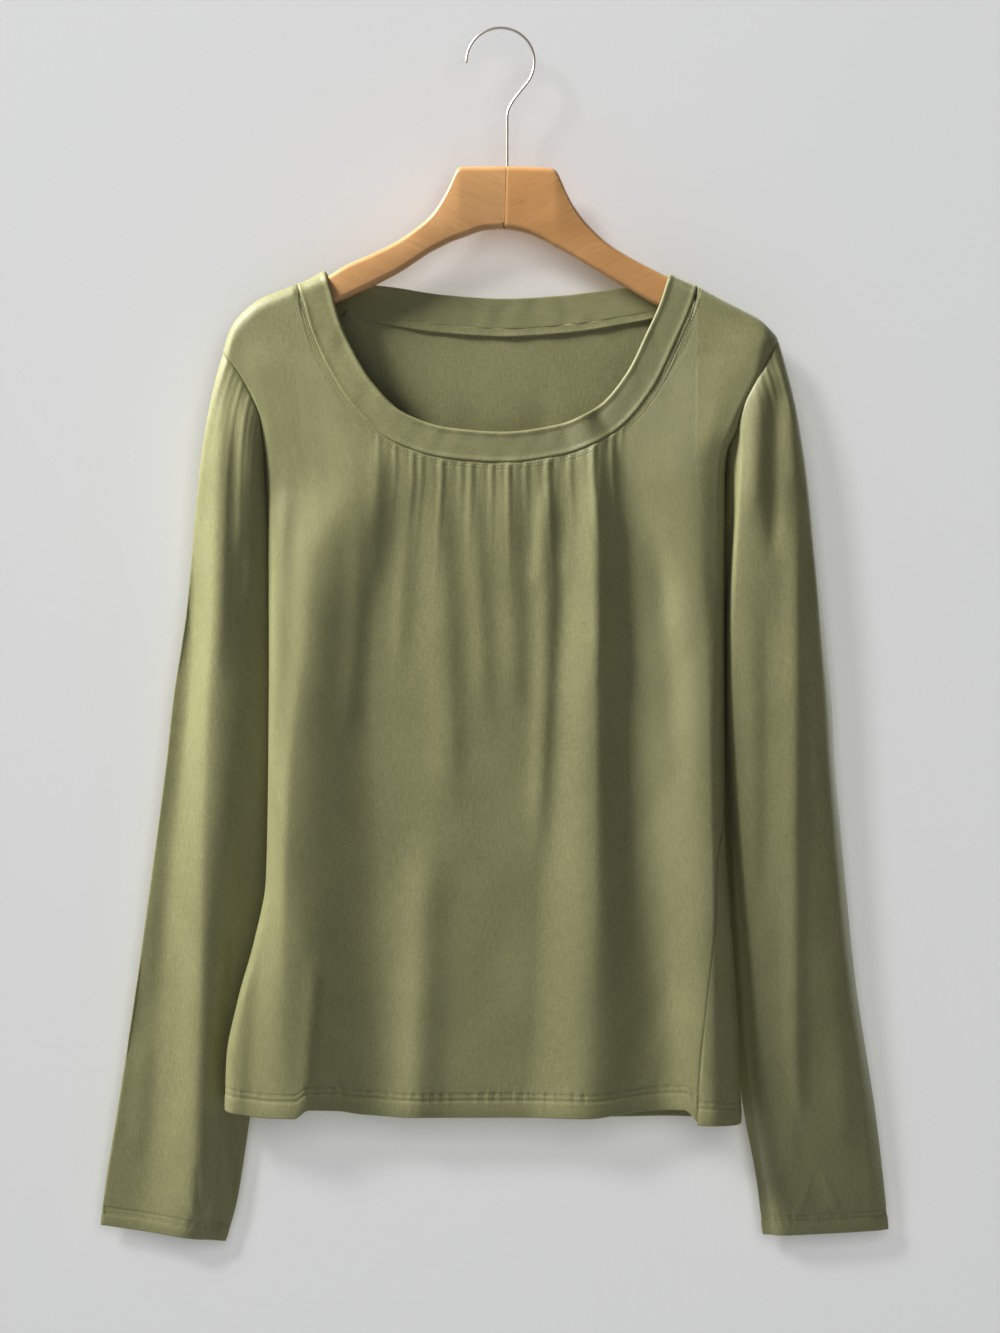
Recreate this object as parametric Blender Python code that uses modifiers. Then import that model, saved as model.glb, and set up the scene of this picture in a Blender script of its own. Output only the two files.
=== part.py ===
"""Long-sleeve scoop-neck top of fine jersey, hanging on a wooden hanger.

The origin is the hang point, at the inside top of the hook. +Z is up, +X is to the right as seen
from the front, and the front faces -Y. Lengths in the tables are millimetres, and a drop is the
distance below the hang point.
"""

import math

import bpy
import numpy as np

MM = 0.001

# Cloth walls, seams and soft edges
CLOTH_THICK = 1.2
HEM_THICK = 2.2
BAND_THICK = 2.0
SIDE_GAP = 0.8
NECK_GAP = 0.7
SHOULDER_GAP = 1.1
ARMHOLE_GAP = 1.6
HEM_DEPTH = 14.0
HEM_LEVEL = 760.0
BAND_WIDTH = 21.0
ARM_ROLL = 8.4
EDGE_ROLL = 9.0
SEAM_BEHIND_RIDGE = 2.0
GATHER_START = 5.0
GATHER_FADE = 1.5
UNDERARM = 393.0

# Hanger
WIRE_RADIUS = 1.0
HOOK_RADIUS = 23.8
HOOK_TURN = 215.0
HOOK_STEPS = 26
STEM_X = 4.8
STEM_TOP = 62.0
WOOD_TOP = 96.2
WOOD_UNDER = 139.7
WOOD_THICK = 11.0
WOOD_ROUND = 4.5
HOLE_DEPTH = 32.0
HOLE_RADIUS = 1.3
GLUE_GAP = 0.3

# Colours, linear
SAGE = (0.262, 0.255, 0.108, 1.0)
BEECH = (0.530, 0.262, 0.118, 1.0)
NICKEL = (0.620, 0.570, 0.500, 1.0)


def table(names, *rows):
    """Named columns from one row for each section or fold."""
    return dict(zip(names.split(), np.array(rows, float).T))


# Top line of the shoulders, and how it would run on above the neck
RIDGE = table(
    "x drop",
    (-195.3, 228.5), (-191.7, 216.3), (-187.9, 207.2), (-180.2, 198.1), (-169.8, 189.7),
    (-151.5, 182.0), (-133.3, 175.0), (-119.3, 168.7), (0.0, 120.0), (116.5, 169.4),
    (136.1, 179.2), (155.8, 190.0), (169.8, 197.0), (182.3, 204.0), (189.3, 210.7),
    (195.5, 217.5),
)

# Side folds of the body. Under "front" and "back", how far each panel starts from the fold:
# more than 0 lies on the front, less than 0 on the back. They part round the armholes.
LEFT_SIDE = table(
    "drop x front back",
    (217.0, -203.0, 8, -8),
    (228.5, -198.6, 8, -8),
    (235.5, -192.0, 8, -9),
    (253.0, -180.8, 8, -11),
    (264.7, -175.2, 8, -13),
    (276.0, -170.0, 6, -15),
    (295.0, -165.9, 2, -19),
    (315.0, -164.0, -2, -23),
    (343.0, -163.1, -10, -27),
    (372.0, -162.8, -17, -28),
    (385.0, -162.6, -20.5, -26),
    (393.0, -162.6, -23, -23),
    (435.0, -162.4, -23, -23),
    (512.0, -162.8, -23, -23),
    (596.0, -164.5, -22, -22),
    (638.0, -172.5, -21, -21),
    (680.0, -184.1, -20, -20),
    (722.0, -192.2, -19, -19),
    (770.0, -193.6, -18, -18),
)
RIGHT_SIDE = table(
    "drop x front back",
    (207.0, 203.0, 8, -8),
    (217.5, 198.8, 8, -8),
    (228.0, 192.9, 8, -9),
    (246.0, 182.2, 8, -11),
    (257.6, 175.9, 8, -13),
    (270.0, 169.0, 7, -15),
    (282.5, 163.9, 5, -17),
    (295.0, 159.5, 2, -19),
    (315.0, 157.4, -2, -23),
    (343.0, 157.2, -9, -27),
    (372.0, 157.1, -16, -27),
    (385.0, 157.1, -19.5, -25),
    (393.0, 157.1, -22, -22),
    (435.0, 157.1, -18, -18),
    (540.0, 157.1, 0, 0),
    (582.0, 158.6, 11, 11),
    (625.0, 161.6, 15, 15),
    (680.0, 165.5, 25, 25),
    (725.0, 167.8, 32, 32),
    (770.0, 169.0, 36, 36),
)

# Folds across the front: where each crest and hollow runs, and how far it stands forward
FRONT_FOLDS = table(
    "drop left_edge crest_l_x crest_l hollow_l_x hollow_l middle_x middle "
    "ridge_x ridge hollow_r_x hollow_r crest_r_x crest_r right_edge",
    (228, 8.4, -112, 8.4, -60, 8.4, 0, 8.4, 65, 8.4, 79, 8.4, 132, 8.4, 8.4),
    (276, 8.4, -110, 11.0, -58, 10.4, 0, 10.4, 65, 10.8, 79, 10.5, 132, 12.0, 8.4),
    (309, 7.5, -104, 13.5, -49, 11.5, 0, 11.5, 65, 12.8, 79, 11.4, 132, 15.0, 8.0),
    (372, 8.5, -128, 15.0, -74, 9.5, -7, 10.5, 61, 13.3, 85, 10.3, 137, 17.5, 10.0),
    (435, 9.5, -135, 16.0, -95, 9.0, -14, 10.5, 63, 14.0, 91, 9.3, 143, 18.5, 12.0),
    (512, 10.0, -146, 17.0, -98, 8.6, -21, 10.5, 63, 14.5, 96, 8.4, 146, 19.0, 13.0),
    (596, 10.5, -150, 17.5, -105, 8.2, -21, 10.0, 63, 14.5, 110, 7.8, 143, 18.0, 12.0),
    (680, 9.0, -150, 19.0, -107, 7.7, -27, 10.5, 64, 15.0, 121, 7.6, 142, 16.0, 10.0),
    (750, 8.5, -142, 20.0, -115, 7.2, -49, 12.0, 59, 16.0, 127, 7.6, 141, 15.0, 10.0),
)

# The same across the back, and how far it stands behind
BACK_FOLDS = table(
    "drop left_edge crest_l_x crest_l hollow_l_x hollow_l middle_x middle "
    "hollow_r_x hollow_r crest_r_x crest_r right_edge",
    (228, 8.4, -120, 8.4, -60, 8.4, 0, 8.4, 60, 8.4, 110, 8.4, 8.4),
    (309, 8.6, -112, 10.2, -55, 9.0, 5, 9.6, 62, 8.8, 110, 10.0, 8.6),
    (435, 9.0, -116, 10.8, -60, 8.6, 8, 11.0, 66, 8.4, 112, 10.6, 9.0),
    (596, 9.0, -122, 11.4, -68, 8.2, 4, 12.2, 74, 8.0, 118, 11.2, 9.0),
    (750, 9.0, -136, 11.8, -72, 7.6, -4, 13.2, 80, 7.4, 126, 11.8, 9.0),
)

# Smaller drag folds on the front, each from a start to an end, less than 0 high for a hollow
DRAG_FOLDS = table(
    "start_x start end_x end high half_width",
    (32, 318, 25, 400, 0.9, 6),
    (108, 345, 126, 560, -1.3, 9),
    (-49, 560, -60, 790, 2.6, 14),
    (-176, 640, -187, 790, 1.6, 6),
)

# Gathers let into the seam under the scoop
GATHERS = table(
    "x high long",
    (-66.8, 0.8, 38), (-58.8, 1.1, 52), (-50.8, 1.0, 46), (-44.1, 1.2, 60),
    (-31.1, 1.4, 72), (-22.8, 1.0, 55), (-9.4, 1.3, 64), (3.8, 1.4, 80),
    (15.0, 1.1, 58), (25.5, 1.3, 70), (32.5, 1.2, 84), (43.0, 1.0, 60),
    (52.8, 1.1, 66), (64.0, 1.6, 95), (75.9, 1.0, 52), (84.3, 1.2, 70),
)

# Seam of the neckband: down the front, up to the right shoulder and back across behind.
# The lean is the direction from the seam to the free edge, in degrees above +X.
NECK_FRONT = table(
    "x drop lean",
    (-142.0, 178.6, 27), (-137.5, 192.0, 24), (-132.0, 211.8, 23), (-120.0, 238.3, 31),
    (-103.2, 264.2, 43), (-77.3, 288.0, 61), (-39.5, 300.6, 78), (1.8, 303.8, 90),
    (43.0, 298.5, 101), (79.4, 282.4, 124), (106.0, 252.3, 146), (122.1, 219.4, 163),
    (132.4, 195.6, 168), (137.5, 179.8, 155),
)
NECK_BACK = table(
    "x drop lean",
    (137.5, 179.8, 155), (130.0, 190.0, 138), (112.0, 195.6, 127), (85.0, 200.6, 115),
    (45.8, 206.4, 101), (3.1, 208.9, 90), (-42.3, 206.1, 81), (-83.0, 199.4, 68),
    (-113.0, 194.4, 56), (-133.0, 189.0, 42), (-142.0, 178.6, 27),
)

# Lower edges
FRONT_HEM = table(
    "x drop",
    (-200.0, 756.0), (-184.4, 759.1), (-162.8, 761.2), (-143.0, 761.2), (-134.0, 755.5),
    (-115.8, 756.3), (-95.9, 759.8), (-62.6, 761.9), (59.8, 761.9), (94.8, 758.0),
    (128.0, 756.4), (141.0, 766.5), (175.0, 766.5),
)
BACK_HEM = table(
    "along drop",
    (0.0, 766.5), (0.06, 767.0), (0.12, 765.0), (0.25, 763.0), (0.5, 763.2), (0.9, 759.5),
    (1.0, 759.3),
)

# Sleeves: where six lines along each one run, and how far forward (-) or behind (+) they lie
SLEEVE_LINES = {
    "inner": 0.0, "crease": 0.14, "front": 0.30, "flank": 0.41, "outer": 0.5, "back": 0.75,
}
SLEEVE_COLUMNS = (
    "drop outer_x outer_y flank_x flank_y front_x front_y crease_x crease_y "
    "inner_x inner_y back_x back_y slant"
)
LEFT_SLEEVE = table(
    SLEEVE_COLUMNS,
    (428, -223.6, 9.0, -216.0, 4.0, -200.0, -9.0, -170.0, 8.0, -142.0, 21.5, -182.0, 31.0, 0),
    (470, -230.3, 9.5, -217.4, 4.5, -204.0, -8.5, -171.0, 9.0, -143.0, 21.5, -188.0, 31.0, 0),
    (512, -234.9, 10.0, -218.8, 4.5, -206.2, -8.0, -171.5, 10.0, -145.0, 21.5, -191.0, 31.0, 0),
    (596, -246.0, 11.0, -225.8, 4.5, -209.7, -5.5, -176.0, 12.0, -153.7, 22.0, -200.6, 31.5, 1),
    (680, -258.0, 13.0, -234.9, 5.5, -214.6, -2.0, -190.0, 14.0, -165.0, 22.5, -211.8, 31.5, 4),
    (757, -269.9, 15.0, -241.9, 7.5, -217.4, 2.0, -197.0, 15.0, -178.2, 23.0, -223.0, 31.5, 8),
    (813, -279.0, 16.0, -248.2, 10.0, -221.6, 5.0, -202.0, 15.0, -188.0, 23.0, -232.8, 31.0, 11),
    (841, -282.5, 17.0, -252.4, 12.0, -224.4, 9.0, -206.9, 15.5, -196.4, 23.0, -238.4, 31.0, 12),
)
RIGHT_SLEEVE = table(
    SLEEVE_COLUMNS,
    (428, 228.6, 10.0, 209.7, 0.0, 169.5, -10.0, 162.5, 8.0, 133.0, 21.5, 188.0, 31.0, 0),
    (470, 232.7, 10.5, 211.0, 0.5, 171.5, -9.5, 163.0, 8.5, 137.5, 21.5, 188.7, 31.0, 0),
    (512, 235.2, 11.0, 212.5, 1.0, 174.0, -8.5, 164.0, 9.5, 141.8, 21.5, 192.0, 31.0, 0),
    (596, 242.6, 11.5, 216.7, 2.5, 180.0, -5.5, 167.0, 11.0, 152.3, 22.0, 200.0, 31.5, 0),
    (680, 251.7, 12.5, 223.7, 4.0, 187.0, -2.5, 173.5, 11.0, 167.0, 20.0, 209.7, 31.5, 1),
    (757, 263.6, 14.0, 232.0, 6.0, 193.0, 1.0, 181.0, 11.0, 177.5, 19.0, 220.2, 31.5, 2),
    (813, 270.9, 15.5, 239.0, 9.0, 200.0, 5.0, 188.5, 13.0, 185.2, 20.0, 228.6, 31.0, 3),
    (844, 274.0, 16.5, 241.9, 12.0, 203.0, 9.0, 192.5, 14.5, 188.3, 21.0, 232.0, 31.0, 4),
)

# Way that the sleeve leaves the armhole: outward, behind and down, round from the underarm
SLEEVE_START = table(
    "around outward behind down",
    (0.0, 0.0, 0.75, 0.65), (0.12, 0.75, 0.35, 0.55), (0.25, 0.85, -0.35, 0.4),
    (0.38, 0.75, -0.30, 0.6), (0.5, 0.3, 0.0, 0.95), (0.65, 0.7, 0.4, 0.6),
    (0.85, 0.4, 0.85, 0.3), (1.0, 0.0, 0.75, 0.65),
)

# Small folds where the sleeve heads are eased in
HEAD_FOLDS = table(
    "around high half_width long",
    (0.36, 0.9, 0.016, 55), (0.385, 1.1, 0.016, 45), (0.42, 1.5, 0.014, 70),
    (0.455, 1.0, 0.014, 40),
)

# Hanger arms from the middle outward: upper and lower edge, and thickness
LEFT_ARM = table(
    "x top bottom thick",
    (-11.5, 96.2, 141.0, 11), (-26.0, 96.2, 145.9, 11), (-29.8, 96.8, 147.2, 11),
    (-35.0, 108.1, 149.2, 11), (-40.9, 119.3, 152.2, 11), (-48.2, 129.8, 155.8, 11),
    (-58.4, 138.9, 162.4, 11), (-70.3, 147.3, 170.2, 11), (-87.8, 156.4, 179.2, 11),
    (-108.0, 165.4, 188.8, 11), (-120.0, 172.6, 194.2, 11),
    (-142.0, 183.5, 203.0, 11), (-151.5, 186.6, 207.0, 11),
    (-169.0, 192.4, 213.2, 11), (-178.0, 199.8, 216.0, 10), (-183.0, 206.5, 215.0, 7),
)
RIGHT_ARM = table(
    "x top bottom thick",
    (17.8, 96.2, 142.9, 11), (36.5, 96.2, 151.6, 11), (40.8, 99.0, 153.9, 11),
    (45.8, 113.4, 156.6, 11), (51.9, 124.9, 160.0, 11), (62.3, 138.2, 166.2, 11),
    (77.0, 151.5, 174.8, 11), (91.8, 160.6, 183.3, 11), (107.0, 168.6, 192.4, 11),
    (117.0, 173.5, 197.4, 11), (136.0, 183.0, 206.0, 11), (156.0, 193.2, 214.0, 11),
    (170.0, 200.2, 218.4, 11), (178.0, 205.8, 221.0, 10), (184.0, 212.5, 220.5, 7),
)

# Mesh density: rows over the shoulder or under the neck seam, then the rest of the way down,
# each a little longer than the last
TOP_ROWS = (0.0, 1.5, 4.0, 8.0, 12.0, 16.0)
LOWER_ROWS = 13
LOWER_START = 19.0
ROW_GROWTH = 1.25
CAP_ROWS = 7
LINE_TOP = 165.0
LINE_BOTTOM = 775.0
LINE_POINTS = 500
EDGE_POINTS = 120
SLEEVE_ROWS = 11
SHOULDER_STEPS = (0.0, 0.04, 0.11, 0.2, 0.34, 0.52, 0.75)
PLUMB_END = 315.0
NECK_LEFT_X = (
    -142.0, -141.0, -139.4, -137.0, -132.5, -126.0, -118.0, -109.0, -99.0, -89.0, -78.5,
)
NECK_RIGHT_X = (96.0, 105.0, 113.0, 120.0, 126.0, 131.0, 134.6, 136.5, 137.5)
NECK_BACK_X = (
    137.5, 135.7, 132.5, 127.0, 117.0, 100.0, 80.0, 55.0, 28.0, 0.0, -28.0, -55.0, -80.0, -100.0,
    -118.0, -130.0, -136.6, -140.2, -142.0,
)
BAND_RIDGE_X = (-141.7, -140.2, 135.6, 137.2)
BAND_RIDGE_BACK_X = (137.0, 134.2, -138.6, -141.4)
BAND_ROWS = (0.0, 0.34, 0.67, 1.0)
SLEEVE_AROUND = (
    0.0, 0.045, 0.09, 0.13, 0.165, 0.20, 0.235, 0.27, 0.30, 0.33, 0.345, 0.36, 0.3725, 0.385, 0.402,
    0.42, 0.4375, 0.455, 0.475, 0.5, 0.53, 0.57, 0.62, 0.68, 0.74, 0.80, 0.86, 0.92, 0.96,
)


def curve(knots, values, at):
    """Smooth curve through the values that never runs past them between two knots."""
    steps = np.diff(knots)
    slopes = np.diff(values) / steps
    same_way = slopes[:-1] * slopes[1:] > 0
    total = np.where(same_way, slopes[:-1] + slopes[1:], 1.0)
    tangents = np.concatenate([
        slopes[:1], np.where(same_way, 2 * slopes[:-1] * slopes[1:] / total, 0.0), slopes[-1:],
    ])
    at = np.clip(at, knots[0], knots[-1])
    i = np.clip(np.searchsorted(knots, at) - 1, 0, len(steps) - 1)
    t = (at - knots[i]) / steps[i]
    lift = steps[i] * (t * (1 - t) ** 2 * tangents[i] - t * t * (1 - t) * tangents[i + 1])
    return values[i] + (values[i + 1] - values[i]) * t * t * (3 - 2 * t) + lift


def closed_curve(knots, values, at):
    """Smooth curve through the values round a ring of length 1."""
    knots = np.concatenate([[knots[-1] - 1], knots, [1.0, 1 + knots[1]]])
    values = np.concatenate([values[-1:], values, values[:2]])
    slopes = (values[2:] - values[:-2]) / (knots[2:] - knots[:-2])
    at = np.mod(at, 1.0)
    i = np.clip(np.searchsorted(knots[1:-1], at, side="right") - 1, 0, len(slopes) - 2)
    step = knots[i + 2] - knots[i + 1]
    t = (at - knots[i + 1]) / step
    a, b = values[i + 1], values[i + 2]
    lift = step * (t * (1 - t) ** 2 * slopes[i] - t * t * (1 - t) * slopes[i + 1])
    return a + (b - a) * t * t * (3 - 2 * t) + lift


def smooth(t):
    t = np.clip(t, 0.0, 1.0)
    return t * t * (3 - 2 * t)


def ridge(x):
    """Drop of the shoulder line at x, and the cosine of its slope there."""
    slope = curve(RIDGE["x"], RIDGE["drop"], x + 0.5) - curve(RIDGE["x"], RIDGE["drop"], x - 0.5)
    return curve(RIDGE["x"], RIDGE["drop"], x), 1 / np.sqrt(1 + slope**2)


def side(sides, column, drop):
    return curve(sides["drop"], sides[column], drop)


def inset(distance):
    """How far in from the side fold a point lies, for its distance round the cloth."""
    turn = np.minimum(distance / EDGE_ROLL, math.pi / 2)
    return EDGE_ROLL * (1 - np.cos(turn)) + np.maximum(distance - EDGE_ROLL * math.pi / 2, 0)


def rise(distance):
    """Share of the full depth that the side fold has reached at this distance round the cloth."""
    return np.sin(np.minimum(distance / EDGE_ROLL, math.pi / 2))


def half_round(drop):
    """Distance across one face of the body, from side fold to side fold, round the cloth."""
    flat = side(RIGHT_SIDE, "x", drop) - side(LEFT_SIDE, "x", drop)
    return flat + EDGE_ROLL * (math.pi - 2)


def folds(lines, names, x, drop):
    """Depth of a face from its crests and hollows."""
    places = [side(LEFT_SIDE, "x", drop)]
    places += [curve(lines["drop"], lines[name + "_x"], drop) for name in names]
    places += [side(RIGHT_SIDE, "x", drop)]
    heights = [
        curve(lines["drop"], lines[name], drop) for name in ("left_edge", *names, "right_edge")
    ]
    depth = heights[0]
    for a, b, low, high in zip(places[:-1], places[1:], heights[:-1], heights[1:]):
        depth = depth + (high - low) * smooth((x - a) / (b - a))
    return depth


def front_depth(x, drop):
    names = ("crest_l", "hollow_l", "middle", "ridge", "hollow_r", "crest_r")
    depth = folds(FRONT_FOLDS, names, x, drop)
    for start_x, start, end_x, end, high, half_width in zip(*DRAG_FOLDS.values()):
        along = (drop - start) / (end - start)
        across = (x - start_x - (end_x - start_x) * along) / half_width
        fade = smooth(along * 4) * smooth((1 - along) * 4)
        depth = depth + high * fade * np.exp(-across**2)
    return depth


def back_depth(x, drop):
    return folds(BACK_FOLDS, ("crest_l", "hollow_l", "middle", "hollow_r", "crest_r"), x, drop)


def over_arm(x, drop):
    """Turn of the cloth over the hanger arm: 0 on the shoulder line, a right angle once it hangs."""
    top, slope = ridge(x)
    below = np.clip((drop - top) * slope / ARM_ROLL, 0, 1)
    return np.arccos(1 - below)


def body_point(distance, drop):
    """Point of the body's outer face. The distance runs round it from the left side fold,
    across the front and then across the back."""
    width = half_round(drop)
    left, right = side(LEFT_SIDE, "x", drop), side(RIGHT_SIDE, "x", drop)
    distance = np.mod(distance + width, 2 * width) - width
    on_front = distance > 0
    from_left = np.abs(distance)
    from_right = width - from_left
    near_left = from_left < from_right
    x = np.where(near_left, left + inset(from_left), right - inset(from_right))
    share = rise(np.minimum(from_left, from_right)) * np.sin(over_arm(x, drop))
    y = np.where(on_front, -front_depth(x, drop), back_depth(x, drop)) * share
    return x, y


def front_span(drop):
    """Distances round the body where the front panel starts and ends."""
    end = half_round(drop) - side(RIGHT_SIDE, "front", drop)
    return side(LEFT_SIDE, "front", drop), end


def back_span(drop):
    width = half_round(drop)
    start = width - side(RIGHT_SIDE, "back", drop)
    return start, 2 * width + side(LEFT_SIDE, "back", drop)


def place(span, column, drop, gap=0.0):
    """Point of a panel's column at this drop, with its side edges trimmed by the gap."""
    start, end = span(drop)
    return body_point(start + gap + (end - start - 2 * gap) * column(drop), drop)


def hanging_line(span, column, gap):
    """Drops down one column of a panel, and the length of cloth from the shoulder line to each."""
    drop = np.linspace(LINE_TOP, LINE_BOTTOM, LINE_POINTS)
    over = drop - ridge(place(span, column, drop, gap)[0])[0]
    above = np.nonzero(over < 0)[0]
    start = LINE_TOP
    if len(above):
        last = above[-1]
        start = drop[last] + (drop[1] - drop[0]) * over[last] / (over[last] - over[last + 1])
    drop = start + (LINE_BOTTOM - start) * np.linspace(0, 1, LINE_POINTS) ** 2
    top, slope = ridge(place(span, column, drop, gap)[0])
    below = (drop - top) * slope
    turn = np.arccos(1 - np.clip(below / ARM_ROLL, 0, 1))
    hanging = below >= ARM_ROLL
    onward = drop - drop[hanging][0]
    length = np.where(hanging, ARM_ROLL * math.pi / 2 + onward, ARM_ROLL * turn)
    return drop, np.maximum.accumulate(length)


def down_column(span, column, rows, gap):
    """Points at these lengths below the shoulder line. Less than 0 lies on its far side."""
    drop, length = hanging_line(span, column, gap)
    down = np.interp(np.abs(rows), length, drop)
    x, y = place(span, column, down, gap)
    y = np.where(rows < 0, -y, y)
    return np.stack([x, y, -down], axis=-1)


def neck_line(rows, x, gap=0.0):
    """Points of one stretch of the neck seam at these x, moved out from the band by the gap."""
    reach = np.concatenate([[0], np.cumsum(np.hypot(np.diff(rows["x"]), np.diff(rows["drop"])))])
    fine = np.linspace(0, reach[-1], 400)
    line_x, line_drop, line_lean = (
        curve(reach, rows[name], fine) for name in ("x", "drop", "lean")
    )
    order = np.argsort(line_x)
    drop = np.interp(x, line_x[order], line_drop[order])
    lean = np.interp(x, line_x[order], line_lean[order])
    turn = np.radians(lean)
    return x - gap * np.cos(turn), drop + gap * np.sin(turn), lean


def front_share(x, drop):
    """Share of the way across the front panel at which a point of its flat part lies."""
    start, end = front_span(drop)
    distance = x - side(LEFT_SIDE, "x", drop) + EDGE_ROLL * (math.pi / 2 - 1)
    return (distance - start) / (end - start)


def back_share(x, drop):
    """The same across the back panel, which runs from the right side to the left."""
    start, end = back_span(drop)
    distance = side(RIGHT_SIDE, "x", drop) - x + EDGE_ROLL * (math.pi / 2 - 1) + half_round(drop)
    return (distance - start) / (end - start)


def panel_columns(share_of, first_x, neck_x, last_x):
    """Columns of a panel: each hangs plumb from the neck seam to the underarm and keeps its share
    of the width from there, and those under the shoulders share out the rest."""
    def plumb(x):
        return lambda drop: share_of(x, np.minimum(drop, PLUMB_END))

    def near_first(step):
        return lambda drop: step * share_of(first_x, np.minimum(drop, PLUMB_END))

    def near_last(step):
        return lambda drop: 1 - step * (1 - share_of(last_x, np.minimum(drop, PLUMB_END)))

    columns = [near_first(step) for step in SHOULDER_STEPS]
    columns += [plumb(x) for x in neck_x]
    return columns + [near_last(step) for step in SHOULDER_STEPS[::-1]]


def panel_mesh(name, grid, flip, around=False):
    """Mesh of quads from a grid of points, rows down and columns across."""
    rows, columns = grid.shape[:2]
    last = columns if around else columns - 1
    faces = []
    for r in range(rows - 1):
        for c in range(last):
            d = (c + 1) % columns
            quad = (r * columns + c, r * columns + d, (r + 1) * columns + d, (r + 1) * columns + c)
            faces.append(quad[::-1] if flip else quad)
    mesh = bpy.data.meshes.new(name)
    mesh.from_pydata((grid.reshape(-1, 3) * MM).tolist(), [], faces)
    mesh.update()
    return mesh


def material(name, colour, roughness, metallic=0.0):
    made = bpy.data.materials.new(name)
    made.use_nodes = True
    shader = made.node_tree.nodes["Principled BSDF"]
    shader.inputs["Base Color"].default_value = colour
    shader.inputs["Roughness"].default_value = roughness
    shader.inputs["Metallic"].default_value = metallic
    made.diffuse_color = colour
    return made


def add_object(name, mesh, made_of, collection):
    obj = bpy.data.objects.new(name, mesh)
    mesh.materials.append(made_of)
    mesh.shade_smooth()
    collection.objects.link(obj)
    return obj


def thicken(obj, thick, hem_points=(), hem_thick=None):
    """Give a sheet its wall, inward from its outer face, thicker where the hem is turned up."""
    wall = obj.modifiers.new("Wall", "SOLIDIFY")
    wall.offset = -1
    wall.thickness = (hem_thick or thick) * MM
    if hem_thick:
        group = obj.vertex_groups.new(name="hem")
        group.add(list(hem_points), 1.0, "REPLACE")
        wall.vertex_group = group.name
        wall.thickness_vertex_group = thick / hem_thick


def panel_rows(top, bottom):
    """Lengths down a column: close together at the top, then both edges of the hem."""
    start = top + np.array(TOP_ROWS)
    rest = np.linspace(0, 1, LOWER_ROWS + 1)[1:] ** ROW_GROWTH
    first = max(start[-1], LOWER_START)
    lower = first + (bottom - HEM_DEPTH - 1 - first) * rest
    return np.concatenate([start, lower, [bottom - HEM_DEPTH, bottom]])


def front_neck_x():
    """Places along the front neck seam: its two sides, and the crest and foot of each gather."""
    peaks = GATHERS["x"]
    between = (peaks[:-1] + peaks[1:]) / 2
    ends = (peaks[0] - 4.0, peaks[-1] + 4.0)
    return np.sort(np.concatenate([NECK_LEFT_X, peaks, between, ends, NECK_RIGHT_X]))


def gather_height(x, below_seam):
    """How far the gathers stand forward in the column at x on the seam, this far below it."""
    peaks = GATHERS["x"]
    phase = np.interp(x, peaks, np.arange(len(peaks)), left=-0.5, right=len(peaks) - 0.5)
    wave = 0.5 + 0.5 * np.cos(2 * math.pi * phase)
    high, long = np.interp(x, peaks, GATHERS["high"]), np.interp(x, peaks, GATHERS["long"])
    fade = np.clip(1 - below_seam / long, 0, 1) ** GATHER_FADE
    return wave * high * fade * smooth(below_seam / GATHER_START)


def front_grid():
    neck_x = front_neck_x()
    x, seam, _ = neck_line(NECK_FRONT, neck_x, NECK_GAP)
    none = [0.0] * len(SHOULDER_STEPS)
    seam_drops, seam_places = [*none, *seam, *none], [*none, *neck_x, *none]
    columns = []
    for column, seam_drop, seam_x in zip(
        panel_columns(front_share, x[0], x, x[-1]), seam_drops, seam_places
    ):
        drop, length = hanging_line(front_span, column, SIDE_GAP / 2)
        shoulder = SHOULDER_GAP / 2 - SEAM_BEHIND_RIDGE
        in_neck = NECK_LEFT_X[0] < seam_x < NECK_RIGHT_X[-1] and seam_drop > 0
        top = np.interp(seam_drop, drop, length) if in_neck else shoulder
        hem_x, _ = place(front_span, column, np.array(HEM_LEVEL), SIDE_GAP / 2)
        bottom = np.interp(curve(FRONT_HEM["x"], FRONT_HEM["drop"], hem_x), drop, length)
        rows = panel_rows(top, bottom)
        points = down_column(front_span, column, rows, SIDE_GAP / 2)
        if in_neck:
            points[:, 1] -= gather_height(seam_x, rows - top)
        columns.append(points)
    return np.stack(columns, axis=1)


def back_grid():
    x, seam, _ = neck_line(NECK_BACK, np.array(NECK_BACK_X), NECK_GAP)
    none = [0.0] * len(SHOULDER_STEPS)
    columns = []
    for column, seam_drop in zip(panel_columns(back_share, x[0], x, x[-1]), [*none, *seam, *none]):
        drop, length = hanging_line(back_span, column, SIDE_GAP / 2)
        shoulder = SHOULDER_GAP / 2 + SEAM_BEHIND_RIDGE
        top = max(np.interp(seam_drop, drop, length), shoulder)
        hem_drop = curve(BACK_HEM["along"], BACK_HEM["drop"], column(HEM_LEVEL))
        rows = panel_rows(top, np.interp(hem_drop, drop, length))
        columns.append(down_column(back_span, column, rows, SIDE_GAP / 2))
    return np.stack(columns, axis=1)


def sleeve_ring(lines, around, drop):
    """Points round a sleeve at this drop, from the six lines along it."""
    knots = np.array(list(SLEEVE_LINES.values()))
    x, y = (
        closed_curve(
            knots,
            np.array([curve(lines["drop"], lines[line + axis], drop) for line in SLEEVE_LINES]),
            around,
        )
        for axis in ("_x", "_y")
    )
    outer = curve(lines["drop"], lines["outer_x"], drop)
    inner = curve(lines["drop"], lines["inner_x"], drop)
    slant = curve(lines["drop"], lines["slant"], drop)
    down = drop + slant * (x - outer) / (inner - outer)
    return np.stack([x, y, -down], axis=-1)


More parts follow.
